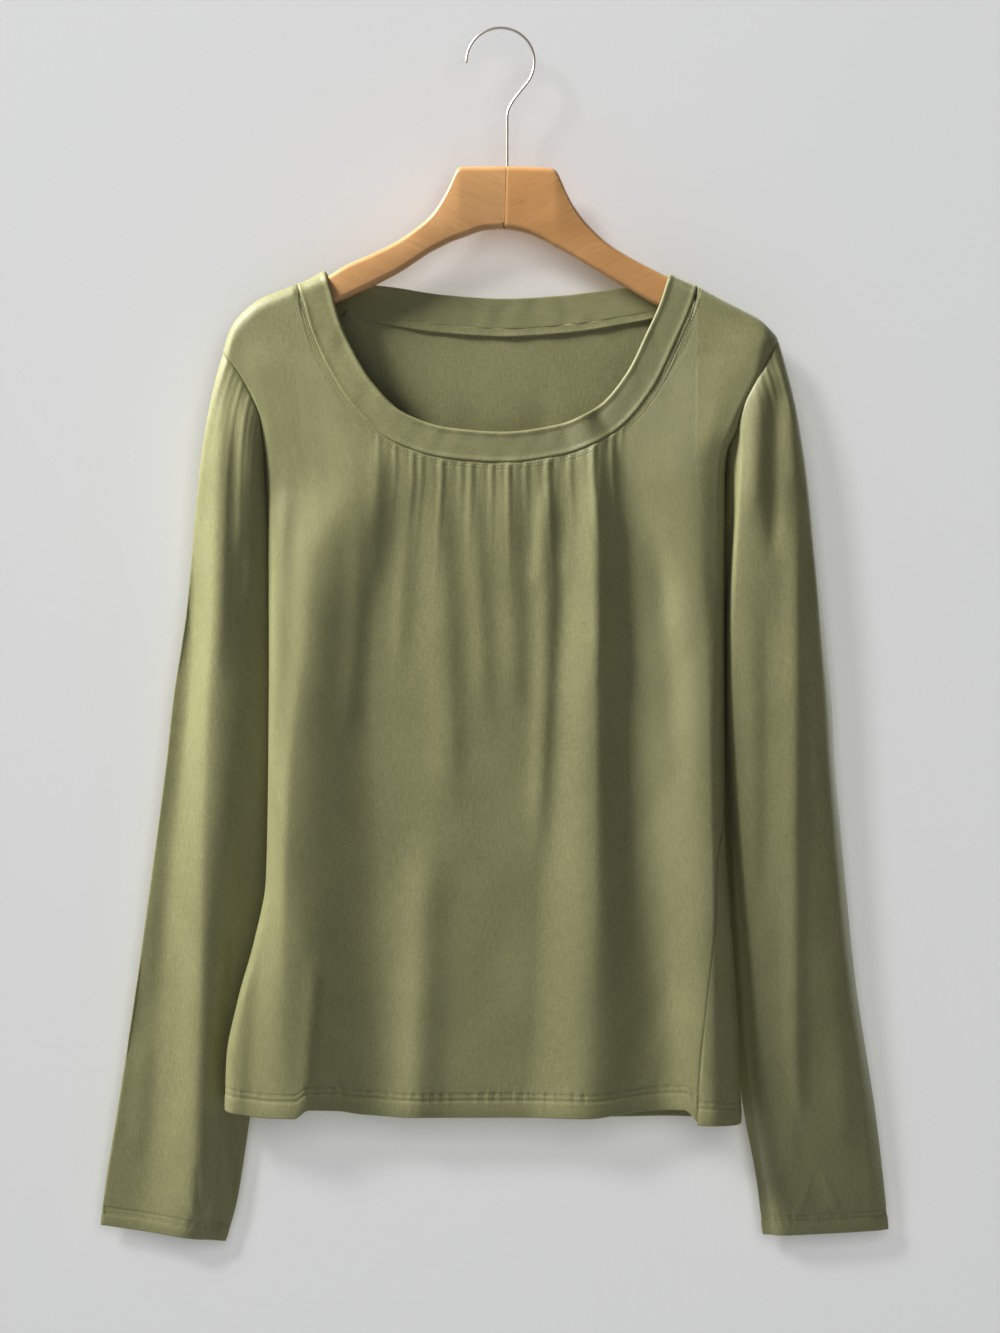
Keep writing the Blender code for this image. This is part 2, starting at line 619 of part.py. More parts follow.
def armhole(share, underarm):
    """Closed armhole edge: from the underarm up the front to the shoulder, and down the back."""
    loop = []
    for span, edge in ((front_span, share), (back_span, 1.0 - share)):
        drop, length = hanging_line(span, lambda at, edge=edge: edge, 0.0)
        rows = np.linspace(SEAM_BEHIND_RIDGE, np.interp(underarm, drop, length), EDGE_POINTS)
        loop.append(down_column(span, lambda at, edge=edge: edge, rows, 0.0))
    front, back = loop
    return front[::-1], back


def resample(points, shares):
    """Points at these shares of the length of a line."""
    length = np.concatenate([[0], np.cumsum(np.linalg.norm(np.diff(points, axis=0), axis=1))])
    at = np.asarray(shares) * length[-1]
    return np.stack([np.interp(at, length, points[:, i]) for i in range(3)], axis=-1)


def sleeve_grid(lines, share, outward):
    """Rows from the armhole down to the cuff, with the sleeve's own points round each."""
    around = np.array(SLEEVE_AROUND)
    front, back = armhole(share, UNDERARM)
    on_front = around <= 0.5
    edge = np.concatenate([
        resample(front, around[on_front] * 2), resample(back, around[~on_front] * 2 - 1),
    ])
    start = np.stack([
        outward * curve(SLEEVE_START["around"], SLEEVE_START["outward"], around),
        curve(SLEEVE_START["around"], SLEEVE_START["behind"], around),
        -curve(SLEEVE_START["around"], SLEEVE_START["down"], around),
    ], axis=-1)
    start /= np.linalg.norm(start, axis=1, keepdims=True)
    edge = edge + start * ARMHOLE_GAP
    first = lines["drop"][0]
    ring = sleeve_ring(lines, around, first)
    onward = sleeve_ring(lines, around, first + 6.0) - ring
    onward /= np.linalg.norm(onward, axis=1, keepdims=True)
    reach = np.linalg.norm(ring - edge, axis=1, keepdims=True)
    rows = []
    for t in np.linspace(0, 1, CAP_ROWS + 1)[:-1] ** ROW_GROWTH:
        row = (
            (2 * t**3 - 3 * t**2 + 1) * edge
            + (t**3 - 2 * t**2 + t) * start * reach
            + (3 * t**2 - 2 * t**3) * ring
            + (t**3 - t**2) * onward * reach
        )
        for where, high, half_width, long in zip(*HEAD_FOLDS.values()):
            down = np.linalg.norm(row - edge, axis=1)
            bump = high * np.exp(-((around - where) / half_width) ** 2)
            row[:, 1] -= bump * np.clip(1 - down / long, 0, 1) * smooth(down / GATHER_START)
        rows.append(row)
    bottom = lines["drop"][-1]
    plain = np.linspace(first, bottom - HEM_DEPTH - 1, SLEEVE_ROWS)
    for drop in (*plain, bottom - HEM_DEPTH, bottom):
        rows.append(sleeve_ring(lines, around, drop))
    return np.stack(rows)


def band_grid():
    """Rows from the seam edge of the neckband to its free edge, right round."""
    rows = [[] for _ in BAND_ROWS]
    for line, places, depth, sign in (
        (NECK_FRONT, np.sort([*front_neck_x(), *BAND_RIDGE_X]), front_depth, -1),
        (NECK_BACK, np.sort([*NECK_BACK_X, *BAND_RIDGE_BACK_X])[::-1], back_depth, 1),
    ):
        x, drop, lean = neck_line(line, places)
        turn = np.radians(lean)
        for row, across in zip(rows, BAND_ROWS):
            row_x = x + across * BAND_WIDTH * np.cos(turn)
            row_drop = drop - across * BAND_WIDTH * np.sin(turn)
            y = sign * depth(x, drop) * np.sin(over_arm(row_x, row_drop))
            row.append(np.stack([row_x, y, -row_drop], axis=-1)[:-1])
    return np.stack([np.concatenate(row) for row in rows])


def arm_mesh(name, arm, middle):
    """One wooden arm: rounded oblong sections from the glued face out to the tip."""
    sections = [(middle, WOOD_TOP, WOOD_UNDER, WOOD_THICK)] + list(zip(*arm.values()))
    ring = []
    for x, top, bottom, thick in sections:
        half, radius = thick / 2, min(WOOD_ROUND, thick / 2 - 1, (bottom - top) / 2 - 1)
        points = []
        for corner, (sy, sz) in enumerate(((1, 1), (-1, 1), (-1, -1), (1, -1))):
            centre_y = sy * (half - radius)
            centre_z = -(top + radius) if sz > 0 else -(bottom - radius)
            for step in range(3):
                angle = math.radians(90 * corner + 45 * step)
                y = centre_y + radius * math.cos(angle)
                points.append((x, y, centre_z + radius * math.sin(angle)))
        ring.append(points)
    grid = np.array(ring)
    mesh = panel_mesh(name, grid, flip=arm["x"][0] < middle, around=True)
    count = grid.shape[1]
    total = len(mesh.vertices)
    caps = [list(range(count))[::-1], list(range(total - count, total))]
    if arm["x"][0] < middle:
        caps = [cap[::-1] for cap in caps]
    faces = [tuple(p.vertices) for p in mesh.polygons] + caps
    whole = bpy.data.meshes.new(name)
    whole.from_pydata([tuple(v.co) for v in mesh.vertices], [], faces)
    whole.update()
    bpy.data.meshes.remove(mesh)
    return whole


def hook_points():
    """Wire's centre line: round from the tip over the top, then down into the stem."""
    centre = -HOOK_RADIUS + WIRE_RADIUS
    points = []
    for step in range(HOOK_STEPS + 1):
        angle = math.radians(180 - HOOK_TURN * step / HOOK_STEPS)
        points.append((HOOK_RADIUS * math.cos(angle), centre + HOOK_RADIUS * math.sin(angle)))
    end = np.array(points[-1])
    angle = math.radians(180 - HOOK_TURN)
    onward = np.array([math.sin(angle), -math.cos(angle)])
    stem = np.array([STEM_X, -STEM_TOP])
    a, b = end + onward * 12, stem + np.array([0, 10])
    for step in range(1, 9):
        t = step / 8
        early = (1 - t) ** 3 * end + 3 * t * (1 - t) ** 2 * a
        points.append(tuple(early + 3 * t * t * (1 - t) * b + t**3 * stem))
    points.append((STEM_X, -(WOOD_TOP + HOLE_DEPTH - 0.5)))
    return points


def add_hook(made_of, collection):
    line = bpy.data.curves.new("hanger_hook", "CURVE")
    line.dimensions = "3D"
    line.bevel_depth = WIRE_RADIUS * MM
    line.bevel_resolution = 2
    line.use_fill_caps = True
    points = hook_points()
    spline = line.splines.new("POLY")
    spline.points.add(len(points) - 1)
    for point, (x, z) in zip(spline.points, points):
        point.co = (x * MM, 0, z * MM, 1)
    line.materials.append(made_of)
    obj = bpy.data.objects.new("hanger_hook", line)
    collection.objects.link(obj)
    return obj


def add_hole(collection):
    bpy.ops.mesh.primitive_cylinder_add(
        vertices=16, radius=HOLE_RADIUS * MM, depth=2 * HOLE_DEPTH * MM,
        location=(STEM_X * MM, 0, -WOOD_TOP * MM),
    )
    hole = bpy.context.object
    hole.name = "hook_hole"
    for owner in list(hole.users_collection):
        owner.objects.unlink(hole)
    collection.objects.link(hole)
    hole.hide_render = True
    hole.display_type = "WIRE"
    return hole


def hem_points(grid):
    """Numbers of the points in the last two rows."""
    rows, columns = grid.shape[:2]
    return range((rows - 2) * columns, rows * columns)


def main():
    for obj in list(bpy.data.objects):
        bpy.data.objects.remove(obj, do_unlink=True)
    parts = bpy.data.collections.new("long_sleeve_top_on_hanger")
    cutters = bpy.data.collections.new("cutters")
    bpy.context.scene.collection.children.link(parts)
    bpy.context.scene.collection.children.link(cutters)

    jersey = material("sage_jersey", SAGE, 0.85)
    beech = material("beech", BEECH, 0.5)
    nickel = material("nickel_wire", NICKEL, 0.3, 1.0)

    sheets = (
        ("front", front_grid(), True, False),
        ("back", back_grid(), True, False),
        ("sleeve_left", sleeve_grid(LEFT_SLEEVE, 0.0, -1), False, True),
        ("sleeve_right", sleeve_grid(RIGHT_SLEEVE, 1.0, 1), True, True),
    )
    for name, grid, flip, around in sheets:
        obj = add_object(name, panel_mesh(name, grid, flip, around), jersey, parts)
        thicken(obj, CLOTH_THICK, hem_points(grid), HEM_THICK)
    band = add_object("neckband", panel_mesh("neckband", band_grid(), False, True), jersey, parts)
    thicken(band, BAND_THICK)

    hole = add_hole(cutters)
    for name, arm, middle in (
        ("hanger_left", LEFT_ARM, STEM_X - GLUE_GAP / 2),
        ("hanger_right", RIGHT_ARM, STEM_X + GLUE_GAP / 2),
    ):
        obj = add_object(name, arm_mesh(name, arm, middle), beech, parts)
        cut = obj.modifiers.new("Hook hole", "BOOLEAN")
        cut.operation = "DIFFERENCE"
        cut.object = hole
    add_hook(nickel, parts)


main()
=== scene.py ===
import math

import bmesh
import bpy
import numpy as np
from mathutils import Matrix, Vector
from mathutils.bvhtree import BVHTree


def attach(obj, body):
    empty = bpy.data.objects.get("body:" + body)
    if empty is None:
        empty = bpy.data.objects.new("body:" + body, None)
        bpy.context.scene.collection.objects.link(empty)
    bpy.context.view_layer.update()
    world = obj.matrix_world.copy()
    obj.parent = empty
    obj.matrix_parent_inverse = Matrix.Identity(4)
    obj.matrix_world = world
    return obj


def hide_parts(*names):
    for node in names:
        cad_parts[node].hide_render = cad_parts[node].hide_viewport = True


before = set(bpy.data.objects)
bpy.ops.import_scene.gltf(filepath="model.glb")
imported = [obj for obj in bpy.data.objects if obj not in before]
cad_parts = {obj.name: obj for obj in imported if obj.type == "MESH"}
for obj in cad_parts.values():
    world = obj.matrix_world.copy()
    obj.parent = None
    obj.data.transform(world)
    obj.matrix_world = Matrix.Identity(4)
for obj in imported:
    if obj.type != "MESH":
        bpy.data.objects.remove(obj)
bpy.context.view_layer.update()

# The studio: a pale wall close behind the hanging top, a pale floor well below it, and one large
# soft lamp high on the left that draws the folds. The camera looks straight on from 2.2 m away.
# Lengths in every table of this file are millimetres, and a drop is the distance below the rail.
MM = 0.001
LENS = 85.0
SENSOR = 36.0
PICTURE_HIGH = 933.1
PICTURE_MIDDLE = (-0.35, -446.6)
CLOTH_FACE_Y = -3.0
WALL_Y = 36.0
WALL_SIZE = 9000.0
FLOOR_DROP = 1500.0
WALL_PAINT = (0.83, 0.83, 0.83, 1.0)
FLOOR_PAINT = (0.74, 0.74, 0.73, 1.0)
ROOM_LIGHT = (0.93, 0.96, 1.0, 1.0)
ROOM_STRENGTH = 0.14

camera_data = bpy.data.cameras.new("camera")
camera_data.lens = LENS
camera_data.sensor_width = SENSOR
camera_data.clip_end = 50.0
camera = bpy.data.objects.new("camera", camera_data)
distance = PICTURE_HIGH / 2 * LENS / (SENSOR / 2)
camera.location = Vector((PICTURE_MIDDLE[0], CLOTH_FACE_Y - distance, PICTURE_MIDDLE[1])) * MM
camera.rotation_euler = (math.pi / 2, 0, 0)
bpy.context.scene.collection.objects.link(camera)
bpy.context.scene.camera = camera
bpy.context.scene.view_settings.view_transform = "Standard"


def lamp(name, azimuth, elevation, away, size, watts, colour):
    """Soft square lamp. It is so many degrees to the right of the camera and above the middle."""
    data = bpy.data.lights.new(name, "AREA")
    data.shape = "SQUARE"
    data.size = size
    data.energy = watts
    data.color = colour
    made = bpy.data.objects.new(name, data)
    turn, up = math.radians(azimuth), math.radians(elevation)
    outward = Vector((math.sin(turn) * math.cos(up), -math.cos(turn) * math.cos(up), math.sin(up)))
    middle = Vector((0, 0, PICTURE_MIDDLE[1] * MM))
    made.location = middle + outward * away
    made.rotation_mode = "QUATERNION"
    made.rotation_quaternion = (-outward).to_track_quat("-Z", "Y")
    bpy.context.scene.collection.objects.link(made)
    return made


def shine(lamps, stage_only, stage):
    """Keep lamps on the stage alone, or off it, as flags do in a studio."""
    for made in lamps:
        lit = bpy.data.collections.new(f"lit_by_{made.name}")
        for piece in stage:
            lit.objects.link(piece)
        for entry in lit.collection_objects:
            entry.light_linking.link_state = "INCLUDE" if stage_only else "EXCLUDE"
        made.light_linking.receiver_collection = lit


cloth_lamps = [
    lamp("key_lamp", -74, 43, 1.9, 0.45, 86, (1.0, 0.985, 0.95)),
    lamp("back_lamp", 215, 28, 3.2, 1.4, 50, (1.0, 0.99, 0.97)),
    lamp("back_fill", 140, 12, 3.2, 1.6, 18, (0.95, 0.98, 1.0)),
]
wall_lamps = [
    lamp("wall_front", 4, 10, 3.6, 2.2, 53, (1.0, 1.0, 1.0)),
    lamp("wall_side", -36, 34, 3.4, 0.7, 30, (1.0, 1.0, 1.0)),
]

world = bpy.data.worlds.new("room")
world.use_nodes = True
room = world.node_tree.nodes["Background"]
room.inputs["Color"].default_value = ROOM_LIGHT
room.inputs["Strength"].default_value = ROOM_STRENGTH
bpy.context.scene.world = world


def feed(tree, node, inputs):
    """Link or set inputs of a node, by name or number."""
    for key, value in inputs.items():
        if isinstance(value, bpy.types.NodeSocket):
            tree.links.new(value, node.inputs[key])
        else:
            node.inputs[key].default_value = value
    return node


def add_node(tree, kind, inputs=(), **settings):
    """New node with these settings and inputs."""
    node = tree.nodes.new(kind)
    for name, value in settings.items():
        setattr(node, name, value)
    return feed(tree, node, dict(inputs))


def new_material(name):
    """Material with its nodes and its main shader."""
    made = bpy.data.materials.new(name)
    made.use_nodes = True
    return made, made.node_tree, made.node_tree.nodes["Principled BSDF"]


def on_object(tree):
    """Place of each point on its object."""
    return add_node(tree, "ShaderNodeTexCoord").outputs["Object"]


def noise(tree, vector, scale, detail=2.0, roughness=0.5, distortion=0.0):
    return add_node(tree, "ShaderNodeTexNoise", {
        "Vector": vector, "Scale": scale, "Detail": detail, "Roughness": roughness,
        "Distortion": distortion,
    }).outputs["Fac"]


def relief(tree, shader, height, distance, strength=1.0):
    """Fine relief of a surface, this far in metres for a height of 1."""
    bump = add_node(tree, "ShaderNodeBump", {
        "Strength": strength, "Distance": distance, "Height": height,
    })
    feed(tree, shader, {"Normal": bump.outputs["Normal"]})


def stage_paint(name, colour, seen_from_behind):
    """Matt paint with a faint roller texture. A wall can let the lamps and the view in from
    behind."""
    made, tree, shader = new_material(name)
    relief(tree, shader, noise(tree, on_object(tree), 140.0), 0.0004, 0.05)
    feed(tree, shader, {"Base Color": colour, "Roughness": 0.9, "Specular IOR Level": 0.2})
    if seen_from_behind:
        behind = add_node(tree, "ShaderNodeNewGeometry").outputs["Backfacing"]
        shadow = add_node(tree, "ShaderNodeLightPath").outputs["Is Shadow Ray"]
        either = add_node(tree, "ShaderNodeMath", {0: behind, 1: shadow}, operation="MAXIMUM")
        clear = add_node(tree, "ShaderNodeBsdfTransparent")
        mix = add_node(tree, "ShaderNodeMixShader", {
            "Fac": either.outputs[0], 1: shader.outputs[0], 2: clear.outputs[0],
        })
        feed(tree, tree.nodes["Material Output"], {"Surface": mix.outputs[0]})
    return made


def stage_plane(name, corners, paint):
    """One large flat face of the stage."""
    mesh = bpy.data.meshes.new(name)
    mesh.from_pydata([Vector(corner) * MM for corner in corners], [], [(0, 1, 2, 3)])
    mesh.materials.append(paint)
    made = bpy.data.objects.new(name, mesh)
    bpy.context.scene.collection.objects.link(made)
    return made


half = WALL_SIZE / 2
stage = [
    stage_plane(
        "wall",
        [(-half, WALL_Y, -FLOOR_DROP), (half, WALL_Y, -FLOOR_DROP), (half, WALL_Y, half),
         (-half, WALL_Y, half)],
        stage_paint("wall_paint", WALL_PAINT, True),
    ),
    stage_plane(
        "floor",
        [(-half, -half, -FLOOR_DROP), (half, -half, -FLOOR_DROP), (half, half, -FLOOR_DROP),
         (-half, half, -FLOOR_DROP)],
        stage_paint("floor_paint", FLOOR_PAINT, False),
    ),
]
shine(cloth_lamps, False, stage)
shine(wall_lamps, True, stage)


# The hanger's two wooden arms are sawn from pale beech, rounded over on every edge, glued
# together in the middle and given a clear satin lacquer. The right one was cut from a slightly
# redder plank. The glue line leans a little.
WOOD_TOP = 96.2
WOOD_ROUND = 4.2
GLUE_TOP_X = 4.4
GLUE_LEAN = -0.035
GLUE_GAP = 0.12
ARM_STATIONS = 110
ARM_CORNER_STEPS = 7


def table(names, *rows):
    """Named columns from one row for each section or fold."""
    return dict(zip(names.split(), np.array(rows, float).T))


LEFT_ARM = table(
    "x top bottom thick",
    (3.0, 96.2, 139.9, 11), (-11.5, 96.3, 141.0, 11), (-24.0, 96.4, 145.2, 11),
    (-28.3, 96.6, 146.7, 11),
    (-30.4, 98.3, 147.4, 11), (-35.0, 108.1, 149.2, 11), (-40.9, 119.3, 152.2, 11),
    (-48.2, 129.8, 155.8, 11), (-58.4, 138.9, 162.4, 11), (-70.3, 147.3, 170.2, 11),
    (-87.8, 156.4, 179.2, 11), (-108.0, 165.4, 188.8, 11), (-120.0, 172.6, 194.2, 11),
    (-142.0, 183.5, 203.0, 11), (-151.5, 186.6, 207.0, 11), (-169.0, 192.4, 213.2, 11),
    (-178.0, 199.8, 216.0, 10), (-183.0, 206.5, 215.0, 7),
)
RIGHT_ARM = table(
    "x top bottom thick",
    (3.0, 96.2, 139.9, 11), (17.8, 96.5, 142.9, 11), (30.0, 97.0, 148.0, 11),
    (35.5, 97.5, 151.0, 11), (38.6, 98.8, 152.9, 11), (40.8, 102.2, 153.9, 11),
    (45.8, 113.4, 156.6, 11), (51.9, 124.9, 160.0, 11), (62.3, 138.2, 166.2, 11),
    (77.0, 151.5, 174.8, 11), (91.8, 160.6, 183.3, 11), (107.0, 168.6, 192.4, 11),
    (117.0, 173.5, 197.4, 11), (136.0, 183.0, 206.0, 11), (156.0, 193.2, 214.0, 11),
    (170.0, 200.2, 218.4, 11), (178.0, 205.8, 221.0, 10), (184.0, 212.5, 220.5, 7),
)


def curve(knots, values, at):
    """Smooth curve through the values that never runs past them between two knots."""
    steps = np.diff(knots)
    slopes = np.diff(values) / steps
    same_way = slopes[:-1] * slopes[1:] > 0
    total = np.where(same_way, slopes[:-1] + slopes[1:], 1.0)
    tangents = np.concatenate([
        slopes[:1], np.where(same_way, 2 * slopes[:-1] * slopes[1:] / total, 0.0), slopes[-1:],
    ])
    at = np.clip(at, knots[0], knots[-1])
    i = np.clip(np.searchsorted(knots, at) - 1, 0, len(steps) - 1)
    t = (at - knots[i]) / steps[i]
    lift = steps[i] * (t * (1 - t) ** 2 * tangents[i] - t * t * (1 - t) * tangents[i + 1])
    return values[i] + (values[i + 1] - values[i]) * t * t * (3 - 2 * t) + lift


def grid_mesh(name, points, flip=False, around=False, ends=False, flat=None):
    """Mesh of quads through a grid of points, rows down and columns across. With flat, the place
    of each point on the uncut cloth goes into a UV map, in metres."""
    rows, columns = points.shape[:2]
    number = np.arange(rows * columns).reshape(rows, columns)
    if around:
        number = np.hstack([number, number[:, :1]])

    def quads(corners):
        found = np.stack(
            [corners[:-1, :-1], corners[:-1, 1:], corners[1:, 1:], corners[1:, :-1]], axis=-1
        ).reshape(-1, 4)
        return found[:, ::-1] if flip else found

    faces = quads(number).tolist()
    if ends:
        caps = [number[0, :columns][::-1].tolist(), number[-1, :columns].tolist()]
        faces += [cap[::-1] for cap in caps] if flip else caps
    mesh = bpy.data.meshes.new(name)
    mesh.from_pydata((points.reshape(-1, 3) * MM).tolist(), [], faces)
    if flat is not None:
        layer = mesh.uv_layers.new(name="cloth")
        corner = quads(np.arange(flat.shape[0] * flat.shape[1]).reshape(flat.shape[:2]))
        layer.data.foreach_set("uv", (flat.reshape(-1, 2)[corner.reshape(-1)] * MM).ravel())
    mesh.update()
    mesh.shade_smooth()
    return mesh


def add_piece(name, mesh, made_of, slot, *nodes):
    """Object that rides on the one body and stands for these solids of the frame."""
    made = bpy.data.objects.new(name, mesh)
    mesh.materials.clear()
    mesh.materials.append(made_of)
    bpy.context.scene.collection.objects.link(made)
    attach(made, "root")
    if nodes:
        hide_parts(*nodes)
    return made


def arm_mesh(name, arm, outward):
    """One arm: rounded oblong sections from the glued face out to the tip."""
    way = np.argsort(arm["x"])
    knots = {key: values[way] for key, values in arm.items()}
    tip = arm["x"][-1]
    start = GLUE_TOP_X + outward * 1.5
    stations = start + (tip - start) * np.linspace(0, 1, ARM_STATIONS)
    corner = np.linspace(0, math.pi / 2, ARM_CORNER_STEPS)
    angles = np.concatenate([corner + k * math.pi / 2 for k in range(4)])
    sign_y = np.repeat([1, -1, -1, 1], ARM_CORNER_STEPS)
    sign_z = np.repeat([1, 1, -1, -1], ARM_CORNER_STEPS)
    rings = []
    for x in stations:
        top, bottom, thick = (
            curve(knots["x"], knots[key], x) for key in ("top", "bottom", "thick")
        )
        radius = min(WOOD_ROUND, thick / 2 - 1, (bottom - top) / 2 - 1)
        middle, high = -(top + bottom) / 2, (bottom - top) / 2
        y = sign_y * (thick / 2 - radius) + radius * np.cos(angles)
        z = middle + sign_z * (high - radius) + radius * np.sin(angles)
        rings.append(np.stack([np.full_like(y, x), y, z], axis=-1))
    glued = rings[0].copy()
    glued[:, 0] = GLUE_TOP_X + outward * GLUE_GAP / 2 + GLUE_LEAN * (-glued[:, 2] - WOOD_TOP)
    face = glued * [1, 0.985, 1]
    glued[:, 0] += outward * 0.25
    last = rings[-1]
    centre = last.mean(axis=0)
    round_tip = []
    for turn in (0.5, 0.95, 1.3):
        shrunk = centre + (last - centre) * math.cos(turn)
        shrunk[:, 0] += outward * 2.0 * math.sin(turn)
        round_tip.append(shrunk)
    return grid_mesh(name, np.stack([face, glued, *rings, *round_tip]), outward < 0, True, True)


def group(name, inputs, outputs):
    """Empty shader group with named inputs and number outputs, and its two ends."""
    tree = bpy.data.node_groups.new(name, "ShaderNodeTree")
    for label, kind, value in inputs:
        socket = tree.interface.new_socket(name=label, in_out="INPUT", socket_type=kind)
        if value is not None:
            socket.default_value = value
    for label in outputs:
        tree.interface.new_socket(name=label, in_out="OUTPUT", socket_type="NodeSocketFloat")
    return tree, add_node(tree, "NodeGroupInput"), add_node(tree, "NodeGroupOutput")


def mixed(tree, amount, first, second):
    """Colour mix of two sockets or colours."""
    return add_node(
        tree, "ShaderNodeMix", {0: amount, 6: first, 7: second}, data_type="RGBA"
    ).outputs[2]


def sum_of(tree, operation, first, second=0.0):
    """Result of one sum with two sockets or numbers."""
    return add_node(tree, "ShaderNodeMath", {0: first, 1: second}, operation=operation).outputs[0]


def times(tree, first, second):
    return sum_of(tree, "MULTIPLY", first, second)


def plus(tree, first, *others):
    for other in others:
        first = sum_of(tree, "ADD", first, other)
    return first


def ramp(tree, value, low, high):
    """The value stretched so that low becomes 0 and high becomes 1."""
    return add_node(tree, "ShaderNodeMapRange", {
        "Value": value, "From Min": low, "From Max": high,
    }).outputs["Result"]


def beech_grain():
    """Long grain, short darker flecks and slow bands of tone, along the X of the vector."""
    tree, start, end = group(
        "beech_grain", [("Vector", "NodeSocketVector", None)], ("Grain", "Fleck", "Band")
    )
    for label, squeeze, texture, low, high in (
        ("Grain", (14, 260, 420), (5.0, 0.6, 0.4), 0.3, 0.7),
        ("Fleck", (60, 700, 900), (1.0, 0.5, 0.0), 0.62, 0.74),
        ("Band", (5, 34, 30), (2.0, 0.5, 0.6), 0.3, 0.7),
    ):
        stretched = add_node(tree, "ShaderNodeMapping", {
            "Scale": squeeze, "Vector": start.outputs["Vector"],
        }).outputs["Vector"]
        feed(tree, end, {label: ramp(tree, noise(tree, stretched, 1.0, *texture), low, high)})
    return tree


def lacquered_beech(name, pale, deep, grain_tree, lean):
    """Beech under clear satin lacquer, with its grain turned along the arm."""
    made, tree, shader = new_material(name)
    turned = add_node(tree, "ShaderNodeMapping", {
        "Rotation": (0, math.radians(lean), 0), "Vector": on_object(tree),
    }).outputs["Vector"]
    wood = add_node(tree, "ShaderNodeGroup", {0: turned}, node_tree=grain_tree).outputs
    tone = plus(tree, times(tree, wood["Grain"], 0.4), times(tree, wood["Band"], 0.6))
    darker = [channel * 0.55 for channel in deep[:3]] + [1.0]
    fleck = times(tree, wood["Fleck"], 0.35)
    feed(tree, shader, {
        "Base Color": mixed(tree, fleck, mixed(tree, tone, pale, deep), darker),
        "Roughness": ramp(tree, wood["Grain"], -1.2, 3.4),
        "Coat Weight": 0.25,
        "Coat Roughness": 0.3,
    })
    relief(tree, shader, wood["Grain"], 0.00012, 0.25)
    return made


grain_tree = beech_grain()
left_beech = lacquered_beech(
    "beech_left", (0.65, 0.36, 0.148, 1), (0.49, 0.25, 0.095, 1), grain_tree, -24
)
right_beech = lacquered_beech(
    "beech_right", (0.66, 0.345, 0.13, 1), (0.51, 0.245, 0.084, 1), grain_tree, 26
)
for name, arm, outward, beech in (
    ("arm_left", LEFT_ARM, -1, left_beech), ("arm_right", RIGHT_ARM, 1, right_beech),
):
    add_piece(name, arm_mesh(name, arm, outward), beech, "beech", name.replace("arm", "hanger"))


# The hook is one length of nickel-plated wire, bent round a former, with its end tapered and
# rounded off, and pushed into a hole drilled down into the wood.
WIRE_RADIUS = 1.0
HOOK_RADIUS = 23.8
HOOK_TURN = 215.0
HOOK_STEPS = 72
STEM_X = 4.8
STEM_TOP = 62.0
STEM_IN_WOOD = 30.0
WIRE_AROUND = 16


def hook_line():
    """Middle of the wire: round from the tip over the top, then down into the stem."""
    centre = -HOOK_RADIUS + WIRE_RADIUS
    turn = np.radians(180 - HOOK_TURN * np.linspace(0, 1, HOOK_STEPS + 1))
    bow = np.stack([HOOK_RADIUS * np.cos(turn), centre + HOOK_RADIUS * np.sin(turn)], axis=-1)
    angle = math.radians(180 - HOOK_TURN)
    end, stem = bow[-1], np.array([STEM_X, -STEM_TOP])
    a, b = end + 12 * np.array([math.sin(angle), -math.cos(angle)]), stem + np.array([0, 10])
    t = np.linspace(0, 1, 31)[1:, None]
    sweep = (1 - t) ** 3 * end + 3 * t * (1 - t) ** 2 * a + 3 * t * t * (1 - t) * b + t**3 * stem
    stem_z = np.linspace(-STEM_TOP, -(WOOD_TOP + STEM_IN_WOOD), 14)[1:]
    stem = np.stack([np.full_like(stem_z, STEM_X), stem_z], axis=-1)
    return np.concatenate([bow, sweep, stem])


def hook_mesh():
    """Rings of wire along the line, with a rounded dome over the free tip."""
    line = hook_line()
    along = np.gradient(line, axis=0)
    along /= np.linalg.norm(along, axis=1, keepdims=True)
    across = np.stack([along[:, 1], np.zeros(len(line)), -along[:, 0]], axis=-1)
    turn = 2 * math.pi * np.arange(WIRE_AROUND) / WIRE_AROUND
    spot = np.stack([line[:, 0], np.zeros(len(line)), line[:, 1]], axis=-1)
    rings = (
        spot[:, None]
        + WIRE_RADIUS * np.cos(turn)[None, :, None] * across[:, None]
        + WIRE_RADIUS * np.sin(turn)[None, :, None] * np.array([0, 1, 0])
    )
    back = -np.array([along[0, 0], 0, along[0, 1]])
    dome = [
        spot[0] + (rings[0] - spot[0]) * math.cos(lean) + back * WIRE_RADIUS * math.sin(lean)
        for lean in (1.35, 1.0, 0.6, 0.25)
    ]
    return grid_mesh("hook", np.concatenate([np.stack(dome), rings]), False, True, True)


def plated_wire():
    """Satin nickel with fine drawing lines and a warm cast."""
    made, tree, shader = new_material("nickel_wire")
    place = on_object(tree)
    fine = noise(tree, place, 900.0, 3.0)
    slow = ramp(tree, noise(tree, place, 60.0), 0.35, 0.65)
    feed(tree, shader, {
        "Base Color": mixed(tree, slow, (0.66, 0.60, 0.52, 1), (0.74, 0.69, 0.61, 1)),
        "Roughness": ramp(tree, fine, -0.7, 2.6),
        "Metallic": 1.0,
    })
    relief(tree, shader, fine, 0.00004, 0.15)
    return made


add_piece("hook", hook_mesh(), plated_wire(), "nickel_wire", "hanger_hook")


